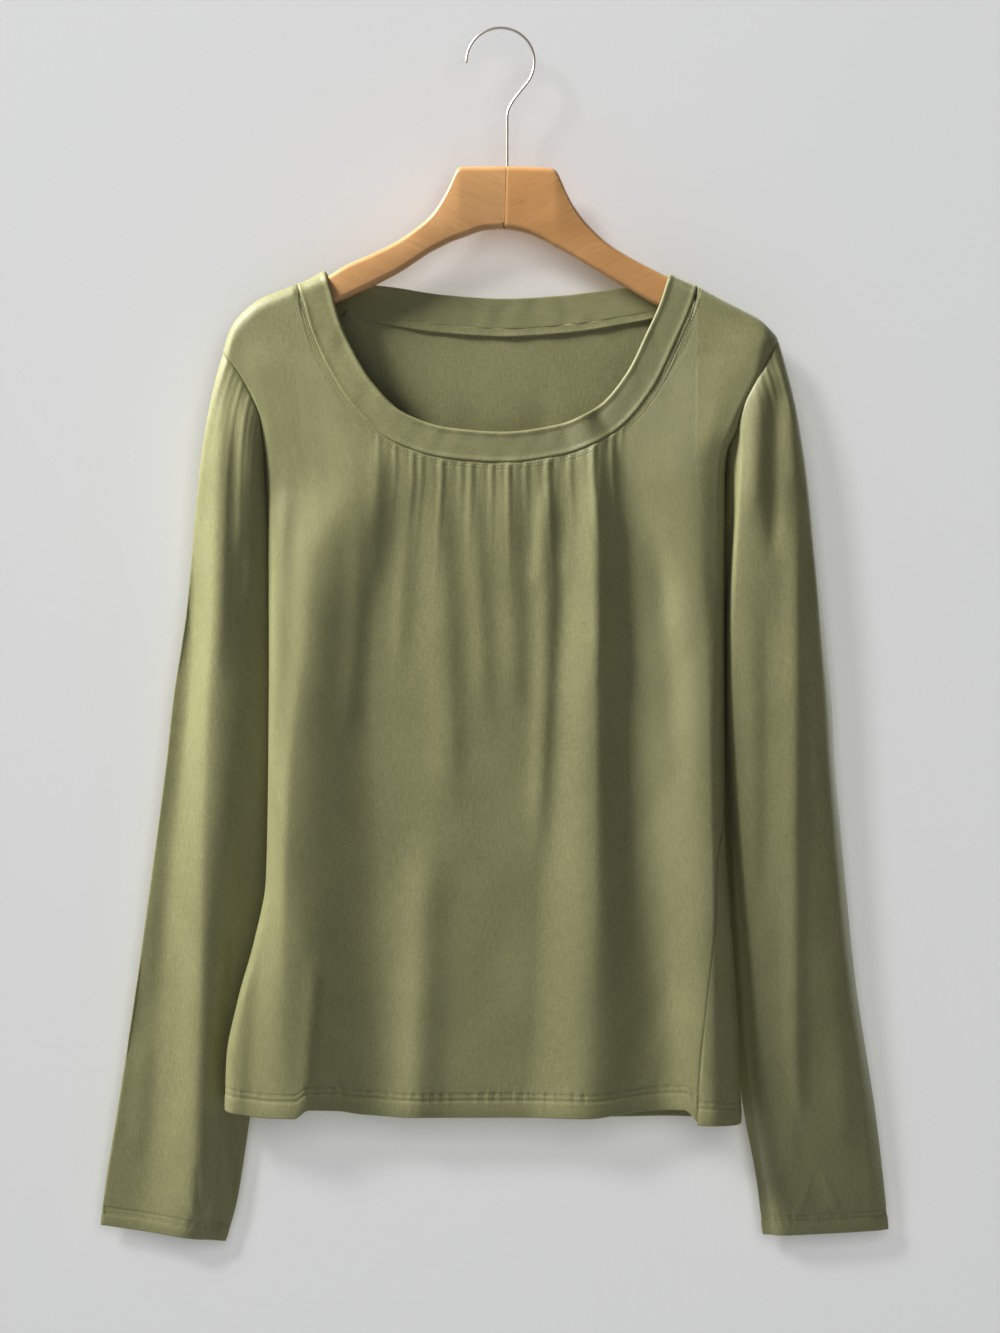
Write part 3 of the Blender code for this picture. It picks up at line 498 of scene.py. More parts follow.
# The front is one panel of fine viscose jersey, knitted in the piece and dyed sage green. It is
# gathered into the neckband under the scoop, sewn to the back along the sides and shoulders, and
# turned up once at the hem. It hangs from the hanger's arms, so its folds start there.
JERSEY_THICK = 0.5
SIDE_GAP = 0.15
NECK_GAP = 0.15
SHOULDER_GAP = 0.15
SEAM_GROOVE = 0.35
STITCH_DENT = 0.16
NECK_STITCH_ROWS = (2.3, 4.4)
SEAM_GROOVE_WIDE = 1.3
HEM_ROLL = 0.62
HEM_DENT = 0.28
HEM_DENT_WIDE = 0.8
HEM_PUFF = 0.22
HEM_PUCKER = 0.055
ARM_ROLL = 8.4
EDGE_ROLL = 6.0
SEAM_BEHIND_RIDGE = 2.0
GATHER_START = 3.5
GATHER_FADE = 2.4
HEM_LEVEL = 760.0
PLUMB_END = 315.0
LINE_TOP = 165.0
LINE_BOTTOM = 775.0
LINE_POINTS = 500
TOP_STEPS = (
    0.0, 0.4, 0.8, 1.3, 1.9, 2.6, 3.4, 4.3, 5.3, 6.4, 7.6, 9.0, 10.5, 12.2, 14.0, 16.0, 18.2,
    20.6, 23.2, 26.0,
)
HEM_STEPS = (
    27.0, 25.0, 23.2, 21.7, 20.5, 19.5, 18.6, 17.8, 17.1, 16.4, 15.7, 15.0, 14.3, 13.6, 13.0, 12.4,
    11.7, 10.8, 9.6, 8.0, 6.2, 4.5, 3.0, 1.8, 1.0,
)
TURN_UP_STEPS = (1.0, 3.0, 6.0, 9.0, 11.5, 13.5, 15.0, 16.0)
ROLL_STEPS = 5
MIDDLE_ROWS = 140
PANEL_EDGE_COLUMNS = 24
# Slow waves of a face: the seed that places them, their height and their size.
FRONT_WAVES = (7, 0.22, 46)
SLEEVE_WAVES_HIGH = 0.22
SLEEVE_WAVES_SIZE = 50
GATHER_COLUMN_EVERY = 1.3
PLAIN_COLUMN_EVERY = 2.2

RIDGE = table(
    "x drop",
    (-195.3, 228.5), (-191.7, 216.3), (-187.9, 207.2), (-180.2, 198.1), (-169.8, 189.7),
    (-151.5, 182.0), (-133.3, 175.0), (-119.3, 168.7), (0.0, 120.0), (116.5, 169.4),
    (136.1, 179.2), (155.8, 190.0), (169.8, 197.0), (182.3, 204.0), (189.3, 210.7),
    (195.5, 217.5),
)
LEFT_SIDE = table(
    "drop x front back",
    (217.0, -203.0, 8, -8), (228.5, -198.6, 8, -8), (235.5, -192.0, 8, -9),
    (253.0, -180.8, 8, -11), (264.7, -175.2, 8, -13), (276.0, -170.0, 6, -15),
    (295.0, -165.9, 2, -19), (315.0, -164.0, -2, -23), (343.0, -163.1, -10, -27),
    (372.0, -162.8, -17, -28), (385.0, -162.6, -20.5, -26), (393.0, -162.6, -23, -23),
    (435.0, -162.4, -23, -23), (512.0, -162.8, -23, -23), (596.0, -164.5, -22, -22),
    (638.0, -172.5, -21, -21), (680.0, -184.1, -20, -20), (722.0, -192.2, -19, -19),
    (770.0, -193.6, -18, -18),
)
RIGHT_SIDE = table(
    "drop x front back",
    (207.0, 203.0, 8, -8), (217.5, 198.8, 8, -8), (228.0, 192.9, 8, -9),
    (246.0, 182.2, 8, -11), (257.6, 175.9, 8, -13), (270.0, 169.0, 7, -15),
    (282.5, 163.9, 5, -17), (295.0, 159.5, 2, -19), (315.0, 157.4, -2, -23),
    (343.0, 157.2, -9, -27), (372.0, 157.1, -16, -27), (385.0, 157.1, -19.5, -25),
    (393.0, 157.1, -22, -22), (435.0, 157.1, -18, -18), (540.0, 157.1, 0, 0),
    (582.0, 158.6, 11, 11), (625.0, 161.6, 15, 15), (680.0, 165.5, 25, 25),
    (725.0, 167.8, 32, 32), (770.0, 169.0, 36, 36),
)
FRONT_FOLDS = table(
    "drop left_edge crest_l_x crest_l hollow_l_x hollow_l middle_x middle foot_x foot "
    "ridge_x ridge hollow_r_x hollow_r crest_r_x crest_r right_edge",
    (228, 8.4, -112, 8.4, -60, 8.4, 0, 8.4, 45, 8.4, 65, 8.4, 79, 8.4, 150, 9.6, 8.4),
    (276, 8.4, -110, 11.0, -58, 10.4, 0, 10.4, 45, 10.4, 65, 10.8, 79, 9.2, 146, 13.5, 11.0),
    (309, 7.5, -100, 13.5, -49, 11.5, 0, 11.5, 46, 11.0, 66, 14.0, 81, 9.4, 138, 15.5, 13.0),
    (372, 8.5, -128, 15.5, -74, 9.2, -7, 10.3, 42, 9.6, 65, 15.0, 86, 7.4, 138, 16.4, 13.0),
    (435, 9.5, -135, 17.2, -90, 8.0, -14, 9.8, 38, 9.0, 66, 15.5, 88, 6.6, 144, 17.4, 14.0),
    (512, 10.0, -145, 18.4, -88, 7.2, -30, 8.8, 32, 8.4, 66, 15.6, 90, 6.2, 146, 18.2, 13.0),
    (596, 10.5, -149, 19.4, -84, 6.8, -50, 8.2, 25, 8.0, 66, 15.6, 95, 6.0, 147, 18.2, 12.0),
    (680, 9.0, -149, 20.2, -82, 6.4, -55, 8.0, 21, 7.8, 63, 15.6, 106, 5.6, 147, 17.5, 10.0),
    (750, 8.5, -144, 20.4, -84, 6.0, -56, 8.6, 16, 7.6, 60, 16.0, 110, 5.6, 147, 16.0, 10.0),
)
BACK_FOLDS = table(
    "drop left_edge crest_l_x crest_l hollow_l_x hollow_l middle_x middle "
    "hollow_r_x hollow_r crest_r_x crest_r right_edge",
    (228, 8.4, -120, 8.4, -60, 8.4, 0, 8.4, 60, 8.4, 110, 8.4, 8.4),
    (309, 8.6, -112, 10.2, -55, 9.0, 5, 9.6, 62, 8.8, 110, 10.0, 8.6),
    (435, 9.0, -116, 10.8, -60, 8.6, 8, 11.0, 66, 8.4, 112, 10.6, 9.0),
    (596, 9.0, -122, 11.4, -68, 8.2, 4, 12.2, 74, 8.0, 118, 11.2, 9.0),
    (750, 9.0, -136, 11.8, -72, 7.6, -4, 13.2, 80, 7.4, 126, 11.8, 9.0),
)
DRAG_FOLDS = table(
    "start_x start end_x end high half_width",
    (32, 318, 25, 400, 0.9, 6), (108, 345, 126, 560, -1.3, 9),
    (-49, 560, -60, 790, 2.6, 14), (-176, 640, -187, 790, 1.6, 6),
)
GATHERS = table(
    "x high long",
    (-91.0, 0.22, 26), (-85.0, 0.45, 70), (-79.0, 0.22, 20), (-73.5, 0.60, 80), (-67.0, 0.22, 22),
    (-61.5, 0.68, 86), (-55.0, 0.60, 110), (-48.5, 0.30, 26), (-41.0, 0.90, 140), (-34.0, 0.30, 24),
    (-28.0, 0.60, 74), (-20.5, 0.75, 118), (-13.0, 0.30, 28), (-6.0, 0.83, 104), (-0.5, 0.30, 25),
    (5.5, 0.90, 146), (11.5, 0.30, 30), (17.5, 0.68, 84), (25.0, 0.38, 32), (33.0, 0.98, 150),
    (41.0, 0.38, 30), (48.5, 0.75, 92), (56.0, 0.30, 28), (64.5, 1.12, 170), (71.5, 0.30, 26),
    (77.5, 0.83, 96), (85.5, 0.38, 36),
)
NECK_FRONT = table(
    "x drop lean",
    (-142.0, 178.6, 27), (-137.5, 192.0, 24), (-132.0, 211.8, 23), (-120.0, 238.3, 31),
    (-103.2, 264.2, 43), (-77.3, 288.0, 61), (-39.5, 300.6, 78), (1.8, 303.8, 90),
    (43.0, 298.5, 101), (79.4, 282.4, 124), (106.0, 252.3, 146), (122.1, 219.4, 163),
    (132.4, 195.6, 168), (137.5, 179.8, 155),
)
NECK_BACK = table(
    "x drop lean",
    (137.5, 179.8, 155), (130.0, 190.0, 138), (112.0, 195.6, 127), (85.0, 200.6, 115),
    (45.8, 206.4, 101), (3.1, 208.9, 90), (-42.3, 206.1, 81), (-83.0, 199.4, 68),
    (-113.0, 194.4, 56), (-133.0, 189.0, 42), (-142.0, 178.6, 27),
)
FRONT_HEM = table(
    "x drop",
    (-200.0, 756.0), (-184.4, 759.1), (-162.8, 761.2), (-143.0, 761.2), (-134.0, 755.5),
    (-115.8, 756.3), (-95.9, 759.8), (-62.6, 761.9), (59.8, 761.9), (94.8, 758.0),
    (128.0, 756.4), (141.0, 766.5), (175.0, 766.5),
)
BACK_HEM = table(
    "along drop",
    (0.0, 766.5), (0.06, 767.0), (0.12, 765.0), (0.25, 763.0), (0.5, 763.2), (0.9, 759.5),
    (1.0, 759.3),
)
# Finer creases than the fold table holds, each a soft ridge or, less than 0 high, a trough from
# one end to the other, with a width of its own on each side.
FRONT_CREASES = table(
    "a_x a_drop b_x b_drop bow high left right",
    (-150, 296, -156, 520, 0, 1.5, 5.5, 6.0), (-96, 322, -109, 510, 2, 1.1, 8.0, 7.5),
    (-47, 300, -35, 560, 3, 1.6, 13.0, 9.5), (-23, 300, -11, 490, 2, 0.9, 7.0, 7.0),
    (5, 290, 13, 500, -1, 1.2, 9.0, 9.0), (33, 280, 26, 600, 2, 1.9, 8.0, 7.5),
    (48, 290, 46, 400, 0, 0.8, 5.0, 6.0), (77, 280, 82, 380, 0, 1.2, 4.5, 4.5),
    (67, 300, 68, 470, 1, 1.4, 6.0, 6.0), (-62, 290, -72, 460, 0, 0.8, 6.0, 7.0),
    (-84, 280, -90, 400, 0, 0.8, 6.0, 6.0), (104, 350, 128, 520, 4, -0.8, 9.0, 8.0),
    (184, 200, 166, 310, 0, 4.5, 26.0, 9.0), (-172, 214, -150, 330, 0, 1.4, 9.0, 20.0),
    (144, 700, 147, 772, 0, -1.3, 4.0, 4.0), (-128, 640, -138, 772, 0, 1.0, 6.0, 5.0),
)
BACK_CREASES = table(
    "a_x a_drop b_x b_drop bow high left right",
    (-104, 215, -128, 520, -6, 1.4, 12, 9), (98, 222, 122, 600, 5, 1.5, 9, 13),
    (-40, 230, -30, 470, 4, -0.9, 16, 12), (30, 225, 44, 640, -5, 1.1, 12, 9),
    (6, 420, -8, 770, 3, 1.3, 9, 13), (-72, 500, -66, 772, 2, 1.2, 8, 11),
    (86, 560, 78, 772, -2, 1.0, 11, 8),
)


def smooth(t):
    """Soft step from 0 to 1."""
    t = np.clip(t, 0.0, 1.0)
    return t * t * (3 - 2 * t)


def ridge(x):
    """Drop of the shoulder line at x, and the cosine of its slope there."""
    slope = curve(RIDGE["x"], RIDGE["drop"], x + 0.5) - curve(RIDGE["x"], RIDGE["drop"], x - 0.5)
    return curve(RIDGE["x"], RIDGE["drop"], x), 1 / np.sqrt(1 + slope**2)


def side(sides, column, drop):
    return curve(sides["drop"], sides[column], drop)


def inset(distance):
    """How far in from the side fold a point lies, for its distance round the cloth."""
    turn = np.minimum(distance / EDGE_ROLL, math.pi / 2)
    return EDGE_ROLL * (1 - np.cos(turn)) + np.maximum(distance - EDGE_ROLL * math.pi / 2, 0)


def half_round(drop):
    """Distance across one face of the body, from side fold to side fold, round the cloth."""
    flat = side(RIGHT_SIDE, "x", drop) - side(LEFT_SIDE, "x", drop)
    return flat + EDGE_ROLL * (math.pi - 2)


def folds(lines, names, x, drop):
    """Depth of a face from its crests and hollows."""
    places = [side(LEFT_SIDE, "x", drop)]
    places += [curve(lines["drop"], lines[name + "_x"], drop) for name in names]
    places += [side(RIGHT_SIDE, "x", drop)]
    heights = [
        curve(lines["drop"], lines[name], drop) for name in ("left_edge", *names, "right_edge")
    ]
    depth = heights[0]
    for a, b, low, high in zip(places[:-1], places[1:], heights[:-1], heights[1:]):
        depth = depth + (high - low) * smooth((x - a) / (b - a))
    return depth


def front_depth(x, drop):
    names = ("crest_l", "hollow_l", "middle", "foot", "ridge", "hollow_r", "crest_r")
    depth = folds(FRONT_FOLDS, names, x, drop)
    for start_x, start, end_x, end, high, half_width in zip(*DRAG_FOLDS.values()):
        along = (drop - start) / (end - start)
        across = (x - start_x - (end_x - start_x) * along) / half_width
        fade = smooth(along * 4) * smooth((1 - along) * 4)
        depth = depth + high * fade * np.exp(-across**2)
    return depth


def back_depth(x, drop):
    return folds(BACK_FOLDS, ("crest_l", "hollow_l", "middle", "hollow_r", "crest_r"), x, drop)


def over_arm(x, drop):
    """Turn of the cloth over the hanger arm: 0 on the shoulder line, and a right angle once it
    hangs."""
    top, slope = ridge(x)
    below = np.clip((drop - top) * slope / ARM_ROLL, 0, 1)
    return np.arccos(1 - below)


def body_point(distance, drop):
    """Point of the body's outer face. The distance runs round it from the left side fold,
    across the front and then across the back."""
    width = half_round(drop)
    left, right = side(LEFT_SIDE, "x", drop), side(RIGHT_SIDE, "x", drop)
    distance = np.mod(distance + width, 2 * width) - width
    on_front = distance > 0
    from_left = np.abs(distance)
    from_right = width - from_left
    nearest = np.minimum(from_left, from_right)
    x = np.where(from_left < from_right, left + inset(from_left), right - inset(from_right))
    share = np.sin(np.minimum(nearest / EDGE_ROLL, math.pi / 2)) * np.sin(over_arm(x, drop))
    y = np.where(on_front, -front_depth(x, drop), back_depth(x, drop)) * share
    return x, y


def front_span(drop):
    """Distances round the body where the front panel starts and ends."""
    end = half_round(drop) - side(RIGHT_SIDE, "front", drop)
    return side(LEFT_SIDE, "front", drop), end


def back_span(drop):
    width = half_round(drop)
    start = width - side(RIGHT_SIDE, "back", drop)
    return start, 2 * width + side(LEFT_SIDE, "back", drop)


def place(span, column, drop, gap=0.0):
    """Point of a panel's column at this drop, with its side edges trimmed by the gap."""
    start, end = span(drop)
    return body_point(start + gap + (end - start - 2 * gap) * column(drop), drop)


def hanging_line(span, column, gap):
    """Drops down one column of a panel, and the length of cloth from the shoulder line to each."""
    drop = np.linspace(LINE_TOP, LINE_BOTTOM, LINE_POINTS)
    over = drop - ridge(place(span, column, drop, gap)[0])[0]
    above = np.nonzero(over < 0)[0]
    start = LINE_TOP
    if len(above):
        last = above[-1]
        start = drop[last] + (drop[1] - drop[0]) * over[last] / (over[last] - over[last + 1])
    drop = start + (LINE_BOTTOM - start) * np.linspace(0, 1, LINE_POINTS) ** 2
    top, slope = ridge(place(span, column, drop, gap)[0])
    below = (drop - top) * slope
    turn = np.arccos(1 - np.clip(below / ARM_ROLL, 0, 1))
    hanging = below >= ARM_ROLL
    onward = drop - drop[hanging][0]
    length = np.where(hanging, ARM_ROLL * math.pi / 2 + onward, ARM_ROLL * turn)
    return drop, np.maximum.accumulate(length)


def down_column(span, column, rows, gap):
    """Points at these lengths below the shoulder line. Less than 0 lies on its far side."""
    drop, length = hanging_line(span, column, gap)
    down = np.interp(np.abs(rows), length, drop)
    x, y = place(span, column, down, gap)
    y = np.where(rows < 0, -y, y)
    return np.stack([x, y, -down], axis=-1)


def along_seam(line):
    """Distance along a stretch of the neck seam to each of its named places."""
    step = np.hypot(np.diff(line["x"]), np.diff(line["drop"]))
    return np.concatenate([[0], np.cumsum(step)])


def neck_line(rows, x, gap=0.0):
    """Points of one stretch of the neck seam at these x, moved out from the band by the gap."""
    reach = along_seam(rows)
    fine = np.linspace(0, reach[-1], 400)
    line_x, line_drop, line_lean = (
        curve(reach, rows[name], fine) for name in ("x", "drop", "lean")
    )
    order = np.argsort(line_x)
    drop = np.interp(x, line_x[order], line_drop[order])
    lean = np.interp(x, line_x[order], line_lean[order])
    turn = np.radians(lean)
    return x - gap * np.cos(turn), drop + gap * np.sin(turn), lean


def front_share(x, drop):
    """Share of the way across the front panel at which a point of its flat part lies."""
    start, end = front_span(drop)
    distance = x - side(LEFT_SIDE, "x", drop) + EDGE_ROLL * (math.pi / 2 - 1)
    return (distance - start) / (end - start)


def back_share(x, drop):
    """The same across the back panel, which runs from the right side to the left."""
    start, end = back_span(drop)
    distance = side(RIGHT_SIDE, "x", drop) - x + EDGE_ROLL * (math.pi / 2 - 1) + half_round(drop)
    return (distance - start) / (end - start)


def panel_columns(share_of, first_x, neck_x, last_x):
    """Columns of a panel: each hangs plumb from the neck seam to the underarm and keeps its share
    of the width from there, and those under the shoulders share out the rest."""
    def plumb(x):
        return lambda drop: share_of(x, np.minimum(drop, PLUMB_END))

    def near_first(step):
        return lambda drop: step * share_of(first_x, np.minimum(drop, PLUMB_END))

    def near_last(step):
        return lambda drop: 1 - step * (1 - share_of(last_x, np.minimum(drop, PLUMB_END)))

    steps = np.linspace(0, 1, PANEL_EDGE_COLUMNS + 1)[:-1] ** 1.7
    columns = [near_first(step) for step in steps]
    columns += [plumb(x) for x in neck_x]
    return columns + [near_last(step) for step in steps[::-1]]


def panel_rows(top, bottom):
    """Lengths down a column: close together under the seam and round the hem's stitches."""
    start = top + np.array(TOP_STEPS)
    end = bottom - np.array(HEM_STEPS)
    return np.concatenate([start, np.linspace(start[-1], end[0], MIDDLE_ROWS + 2)[1:-1], end])


def gather_height(x, below_seam):
    """How far the gathers stand forward in the column at x on the seam, this far below it."""
    peaks = GATHERS["x"]
    phase = np.interp(x, peaks, np.arange(len(peaks)), left=-0.5, right=len(peaks) - 0.5)
    wave = 0.5 + 0.5 * np.cos(2 * math.pi * phase)
    high, long = np.interp(x, peaks, GATHERS["high"]), np.interp(x, peaks, GATHERS["long"])
    fade = np.clip(1 - below_seam / long, 0, 1) ** GATHER_FADE
    return wave * high * fade * smooth(below_seam / GATHER_START)


def outward_normals(grid, flip, around=False):
    """Unit vectors out of the cloth's outer face at each point of a grid."""
    wide = np.concatenate([grid[:, -1:], grid, grid[:, :1]], axis=1) if around else grid
    across = np.gradient(wide, axis=1)
    across = across[:, 1:-1] if around else across
    down = np.gradient(grid, axis=0)
    normal = np.cross(down, across)
    normal /= np.maximum(np.linalg.norm(normal, axis=-1, keepdims=True), 1e-9)
    return -normal if flip else normal


def crease_height(creases, x, drop):
    """Height of all the creases of a face at these places."""
    total = np.zeros_like(x)
    for a_x, a_drop, b_x, b_drop, bow, high, left, right in zip(*creases.values()):
        run = np.array([b_x - a_x, b_drop - a_drop])
        long = np.hypot(*run)
        run = run / long
        along = ((x - a_x) * run[0] + (drop - a_drop) * run[1]) / long
        across = (x - a_x) * run[1] - (drop - a_drop) * run[0]
        across = across - bow * 4 * along * (1 - along)
        fade = smooth(along / 0.25) * smooth((1 - along) / 0.25)
        total += high * fade * np.exp(-((across / np.where(across < 0, left, right)) ** 2))
    return total


def slow_waves(seed, x, drop, size):
    """Soft unevenness between -1 and 1, the same at every run."""
    chance = np.random.default_rng(seed)
    total = np.zeros_like(x)
    for _ in range(9):
        angle, phase = chance.uniform(0, 2 * math.pi, 2)
        wave = 2 * math.pi / (size * chance.uniform(0.6, 1.7))
        total += np.sin(wave * (x * math.cos(angle) + drop * 0.45 * math.sin(angle)) + phase)
    return total / 4.5


def stitch_dents(below_seam, lean):
    """How deep the two rows of neck stitches pull the cloth in, this far below the seam."""
    off = below_seam * np.abs(np.sin(np.radians(lean)))
    return sum(STITCH_DENT * np.exp(-(((off - row) / 0.7) ** 2)) for row in NECK_STITCH_ROWS)


def seam_groove(*distances):
    """How deep the cloth is pulled in at the seams that lie at these distances."""
    return sum(SEAM_GROOVE * np.exp(-((d / SEAM_GROOVE_WIDE) ** 2)) for d in distances)


def along_rows(grid):
    """Distance of each point from the first one in its row."""
    step = np.linalg.norm(np.diff(grid, axis=1), axis=-1)
    return np.concatenate([np.zeros((len(grid), 1)), np.cumsum(step, axis=1)], axis=1)


def along_columns(grid):
    return along_rows(grid.transpose(1, 0, 2)).T


def with_turned_up_hem(grid, flip, stitch_rows, pucker, around=False):
    """The grid with its last rows pulled in at the stitches, then rolled over and run back up
    inside. The grid ends one roll above the folded edge."""
    down = along_columns(grid)
    left = down[-1] - down + HEM_STEPS[-1]
    across = along_rows(grid)
    dent = np.zeros_like(left)
    for above in stitch_rows:
        dent += HEM_DENT * np.exp(-(((left - above) / HEM_DENT_WIDE) ** 2))
    low, high = min(stitch_rows), max(stitch_rows)
    dent -= HEM_PUFF * smooth((left - 1) / 3) * smooth((low - left) / 3)
    chance = np.random.default_rng(pucker)
    wave = np.zeros_like(left)
    for _ in range(7):
        size, phase = chance.uniform(3.2, 11.0), chance.uniform(0, 6.28)
        wave += np.sin(2 * math.pi * across / size + phase)
    near = np.exp(-(((left - high) / 3.2) ** 2)) + 0.6 * np.exp(-(((left - low) / 5.0) ** 2))
    dent += HEM_PUCKER * wave * near
    normals = outward_normals(grid, flip, around)
    grid = grid - normals * dent[..., None]
    normals = outward_normals(grid, flip, around)
    last, out = grid[-1], normals[-1]
    onward = grid[-1] - grid[-2]
    onward /= np.linalg.norm(onward, axis=-1, keepdims=True)
    spare = HEM_STEPS[-1] - HEM_ROLL
    rows = []
    for turn in np.linspace(0, math.pi, ROLL_STEPS + 2):
        reach = spare + HEM_ROLL * math.sin(turn)
        rows.append(last + onward * reach - out * HEM_ROLL * (1 - math.cos(turn)))
    for above in TURN_UP_STEPS[1:]:
        steps = np.abs(left - above).argmin(axis=0)
        at = np.arange(grid.shape[1])
        rows.append(grid[steps, at] - normals[steps, at] * 2 * HEM_ROLL)
    return np.concatenate([grid, np.stack(rows)])


def flat_places(grid, around=False):
    """Place of each point on the uncut cloth: across from the middle column, and down."""
    wide = np.concatenate([grid, grid[:, :1]], axis=1) if around else grid
    across, down = along_rows(wide), along_columns(wide)
    middle = wide.shape[1] // 2
    return np.stack([across - across[:, middle : middle + 1], -down], axis=-1)


def with_small_folds(grid, creases, facing, waves, lean):
    """The panel's grid with its creases, slow waves, grooved seams and dents at the neck."""
    seed, high, size = waves
    x, drop = grid[..., 0], -grid[..., 2]
    normals = outward_normals(grid, False)
    open_face = smooth((facing * normals[..., 1] - 0.25) / 0.4)
    lift = crease_height(creases, x, drop) * open_face
    lift += high * slow_waves(seed, x, drop, size) * open_face * smooth((drop - 215) / 60)
    across, down = along_rows(grid), along_columns(grid)
    lift -= seam_groove(across, across[:, -1:] - across, down)
    lift -= stitch_dents(down, lean)
    return grid + normals * lift[..., None]


def cloth_piece(name, cloth, flip, around, thick, *nodes):
    """Piece of jersey through a grid of points on its outer face, with its wall inside."""
    mesh = grid_mesh(name, cloth, flip, around, flat=flat_places(cloth, around))
    piece = add_piece(name, mesh, sage, "sage_jersey", *nodes)
    wall = piece.modifiers.new("wall", "SOLIDIFY")
    wall.offset = -1
    wall.thickness = thick * MM
    return piece


def front_grid():
    """The front panel's outer face, a column of points for every gather and every plain part."""
    peaks = GATHERS["x"]
    left = np.arange(-142.0, peaks[0] - 3, PLAIN_COLUMN_EVERY)
    middle = np.arange(peaks[0] - 3, peaks[-1] + 3, GATHER_COLUMN_EVERY)
    right = np.linspace(peaks[-1] + 3, 137.5, 22)
    neck_x = np.concatenate([left, middle, right])
    x, seam, lean = neck_line(NECK_FRONT, neck_x, NECK_GAP)
    none = [0.0] * PANEL_EDGE_COLUMNS
    columns = []
    for column, seam_drop, seam_x in zip(
        panel_columns(front_share, x[0], x, x[-1]), [*none, *seam, *none], [*none, *neck_x, *none]
    ):
        drop, length = hanging_line(front_span, column, SIDE_GAP / 2)
        shoulder = SHOULDER_GAP / 2 - SEAM_BEHIND_RIDGE
        in_neck = neck_x[0] < seam_x < neck_x[-1] and seam_drop > 0
        top = np.interp(seam_drop, drop, length) if in_neck else shoulder
        hem_x, _ = place(front_span, column, np.array(HEM_LEVEL), SIDE_GAP / 2)
        bottom = np.interp(curve(FRONT_HEM["x"], FRONT_HEM["drop"], hem_x), drop, length)
        rows = panel_rows(top, bottom)
        points = down_column(front_span, column, rows, SIDE_GAP / 2)
        if in_neck:
            points[:, 1] -= gather_height(seam_x, rows - top)
        columns.append(points)
    lean = np.array([*none, *lean, *none])
    return with_small_folds(np.stack(columns, axis=1), FRONT_CREASES, -1, FRONT_WAVES, lean)


def knit_structure():
    """Face of a fine single jersey on a UV map in metres: wales of small V stitches, slight
    unevenness of the yarn, and the soft bloom of the washed surface."""
    tree, start, end = group(
        "knit_structure",
        [("Vector", "NodeSocketVector", None), ("Wales per metre", "NodeSocketFloat", 1600.0),
         ("Courses per metre", "NodeSocketFloat", 2000.0)],
        ("Loops", "Yarn", "Bloom", "Dye"),
    )
    place = start.outputs["Vector"]
    split = add_node(tree, "ShaderNodeSeparateXYZ", {0: place}).outputs
    wale = times(tree, split["X"], start.outputs["Wales per metre"])
    wale = sum_of(tree, "SUBTRACT", sum_of(tree, "FRACT", wale), 0.5)
    wale = sum_of(tree, "ABSOLUTE", wale)
    course = times(tree, split["Y"], start.outputs["Courses per metre"])
    turned = times(tree, plus(tree, course, times(tree, wale, 1.3)), 2 * math.pi)
    stitch = plus(tree, times(tree, sum_of(tree, "SINE", turned), 0.35), 0.65)
    rib = plus(tree, times(tree, times(tree, wale, wale), -3.6), 1.0)
    stretched = add_node(tree, "ShaderNodeMapping", {"Scale": (900, 110, 1), "Vector": place})
    feed(tree, end, {
        "Loops": times(tree, rib, stitch),
        "Yarn": noise(tree, stretched.outputs[0], 1.0),
        "Bloom": noise(tree, place, 420.0, 3.0, 0.6),
        "Dye": noise(tree, place, 16.0, 3.0, 0.55),
    })
    return tree


def jersey(name, knit, pale, deep, bump_height):
    """Sage viscose jersey: a soft satin lustre over fine stitches."""
    made, tree, shader = new_material(name)
    place = add_node(tree, "ShaderNodeUVMap", uv_map="cloth").outputs["UV"]
    cloth = add_node(tree, "ShaderNodeGroup", {0: place}, node_tree=knit).outputs
    tone = plus(tree, cloth["Dye"], cloth["Yarn"], cloth["Bloom"])
    feed(tree, shader, {
        "Base Color": mixed(tree, ramp(tree, tone, 1.2, 1.8), deep, pale),
        "Roughness": ramp(tree, cloth["Bloom"], -1.0, 2.5),
        "Specular IOR Level": 0.5,
        "Sheen Weight": 0.22,
        "Sheen Roughness": 0.35,
        "Sheen Tint": (0.86, 0.86, 0.70, 1),
    })
    height = plus(tree, times(tree, cloth["Bloom"], 1.6), cloth["Loops"], cloth["Yarn"])
    relief(tree, shader, height, bump_height)
    return made


knit = knit_structure()
sage = jersey("sage_jersey", knit, (0.295, 0.290, 0.136, 1), (0.225, 0.222, 0.098, 1), 0.00005)
BODY_STITCHES = (16.3, 12.3)

front = front_grid()
front_cloth = with_turned_up_hem(front, False, BODY_STITCHES, 3)
front_piece = cloth_piece("front_panel", front_cloth, True, False, JERSEY_THICK, "front")


# The back is one panel of the same jersey, plain at the neck, with the same turned-up hem. It
# hangs from the back of the arms in soft folds of its own and shows from inside through the neck.
BACK_NECK_COLUMNS = 118
BACK_WAVES = (11, 0.2, 52)


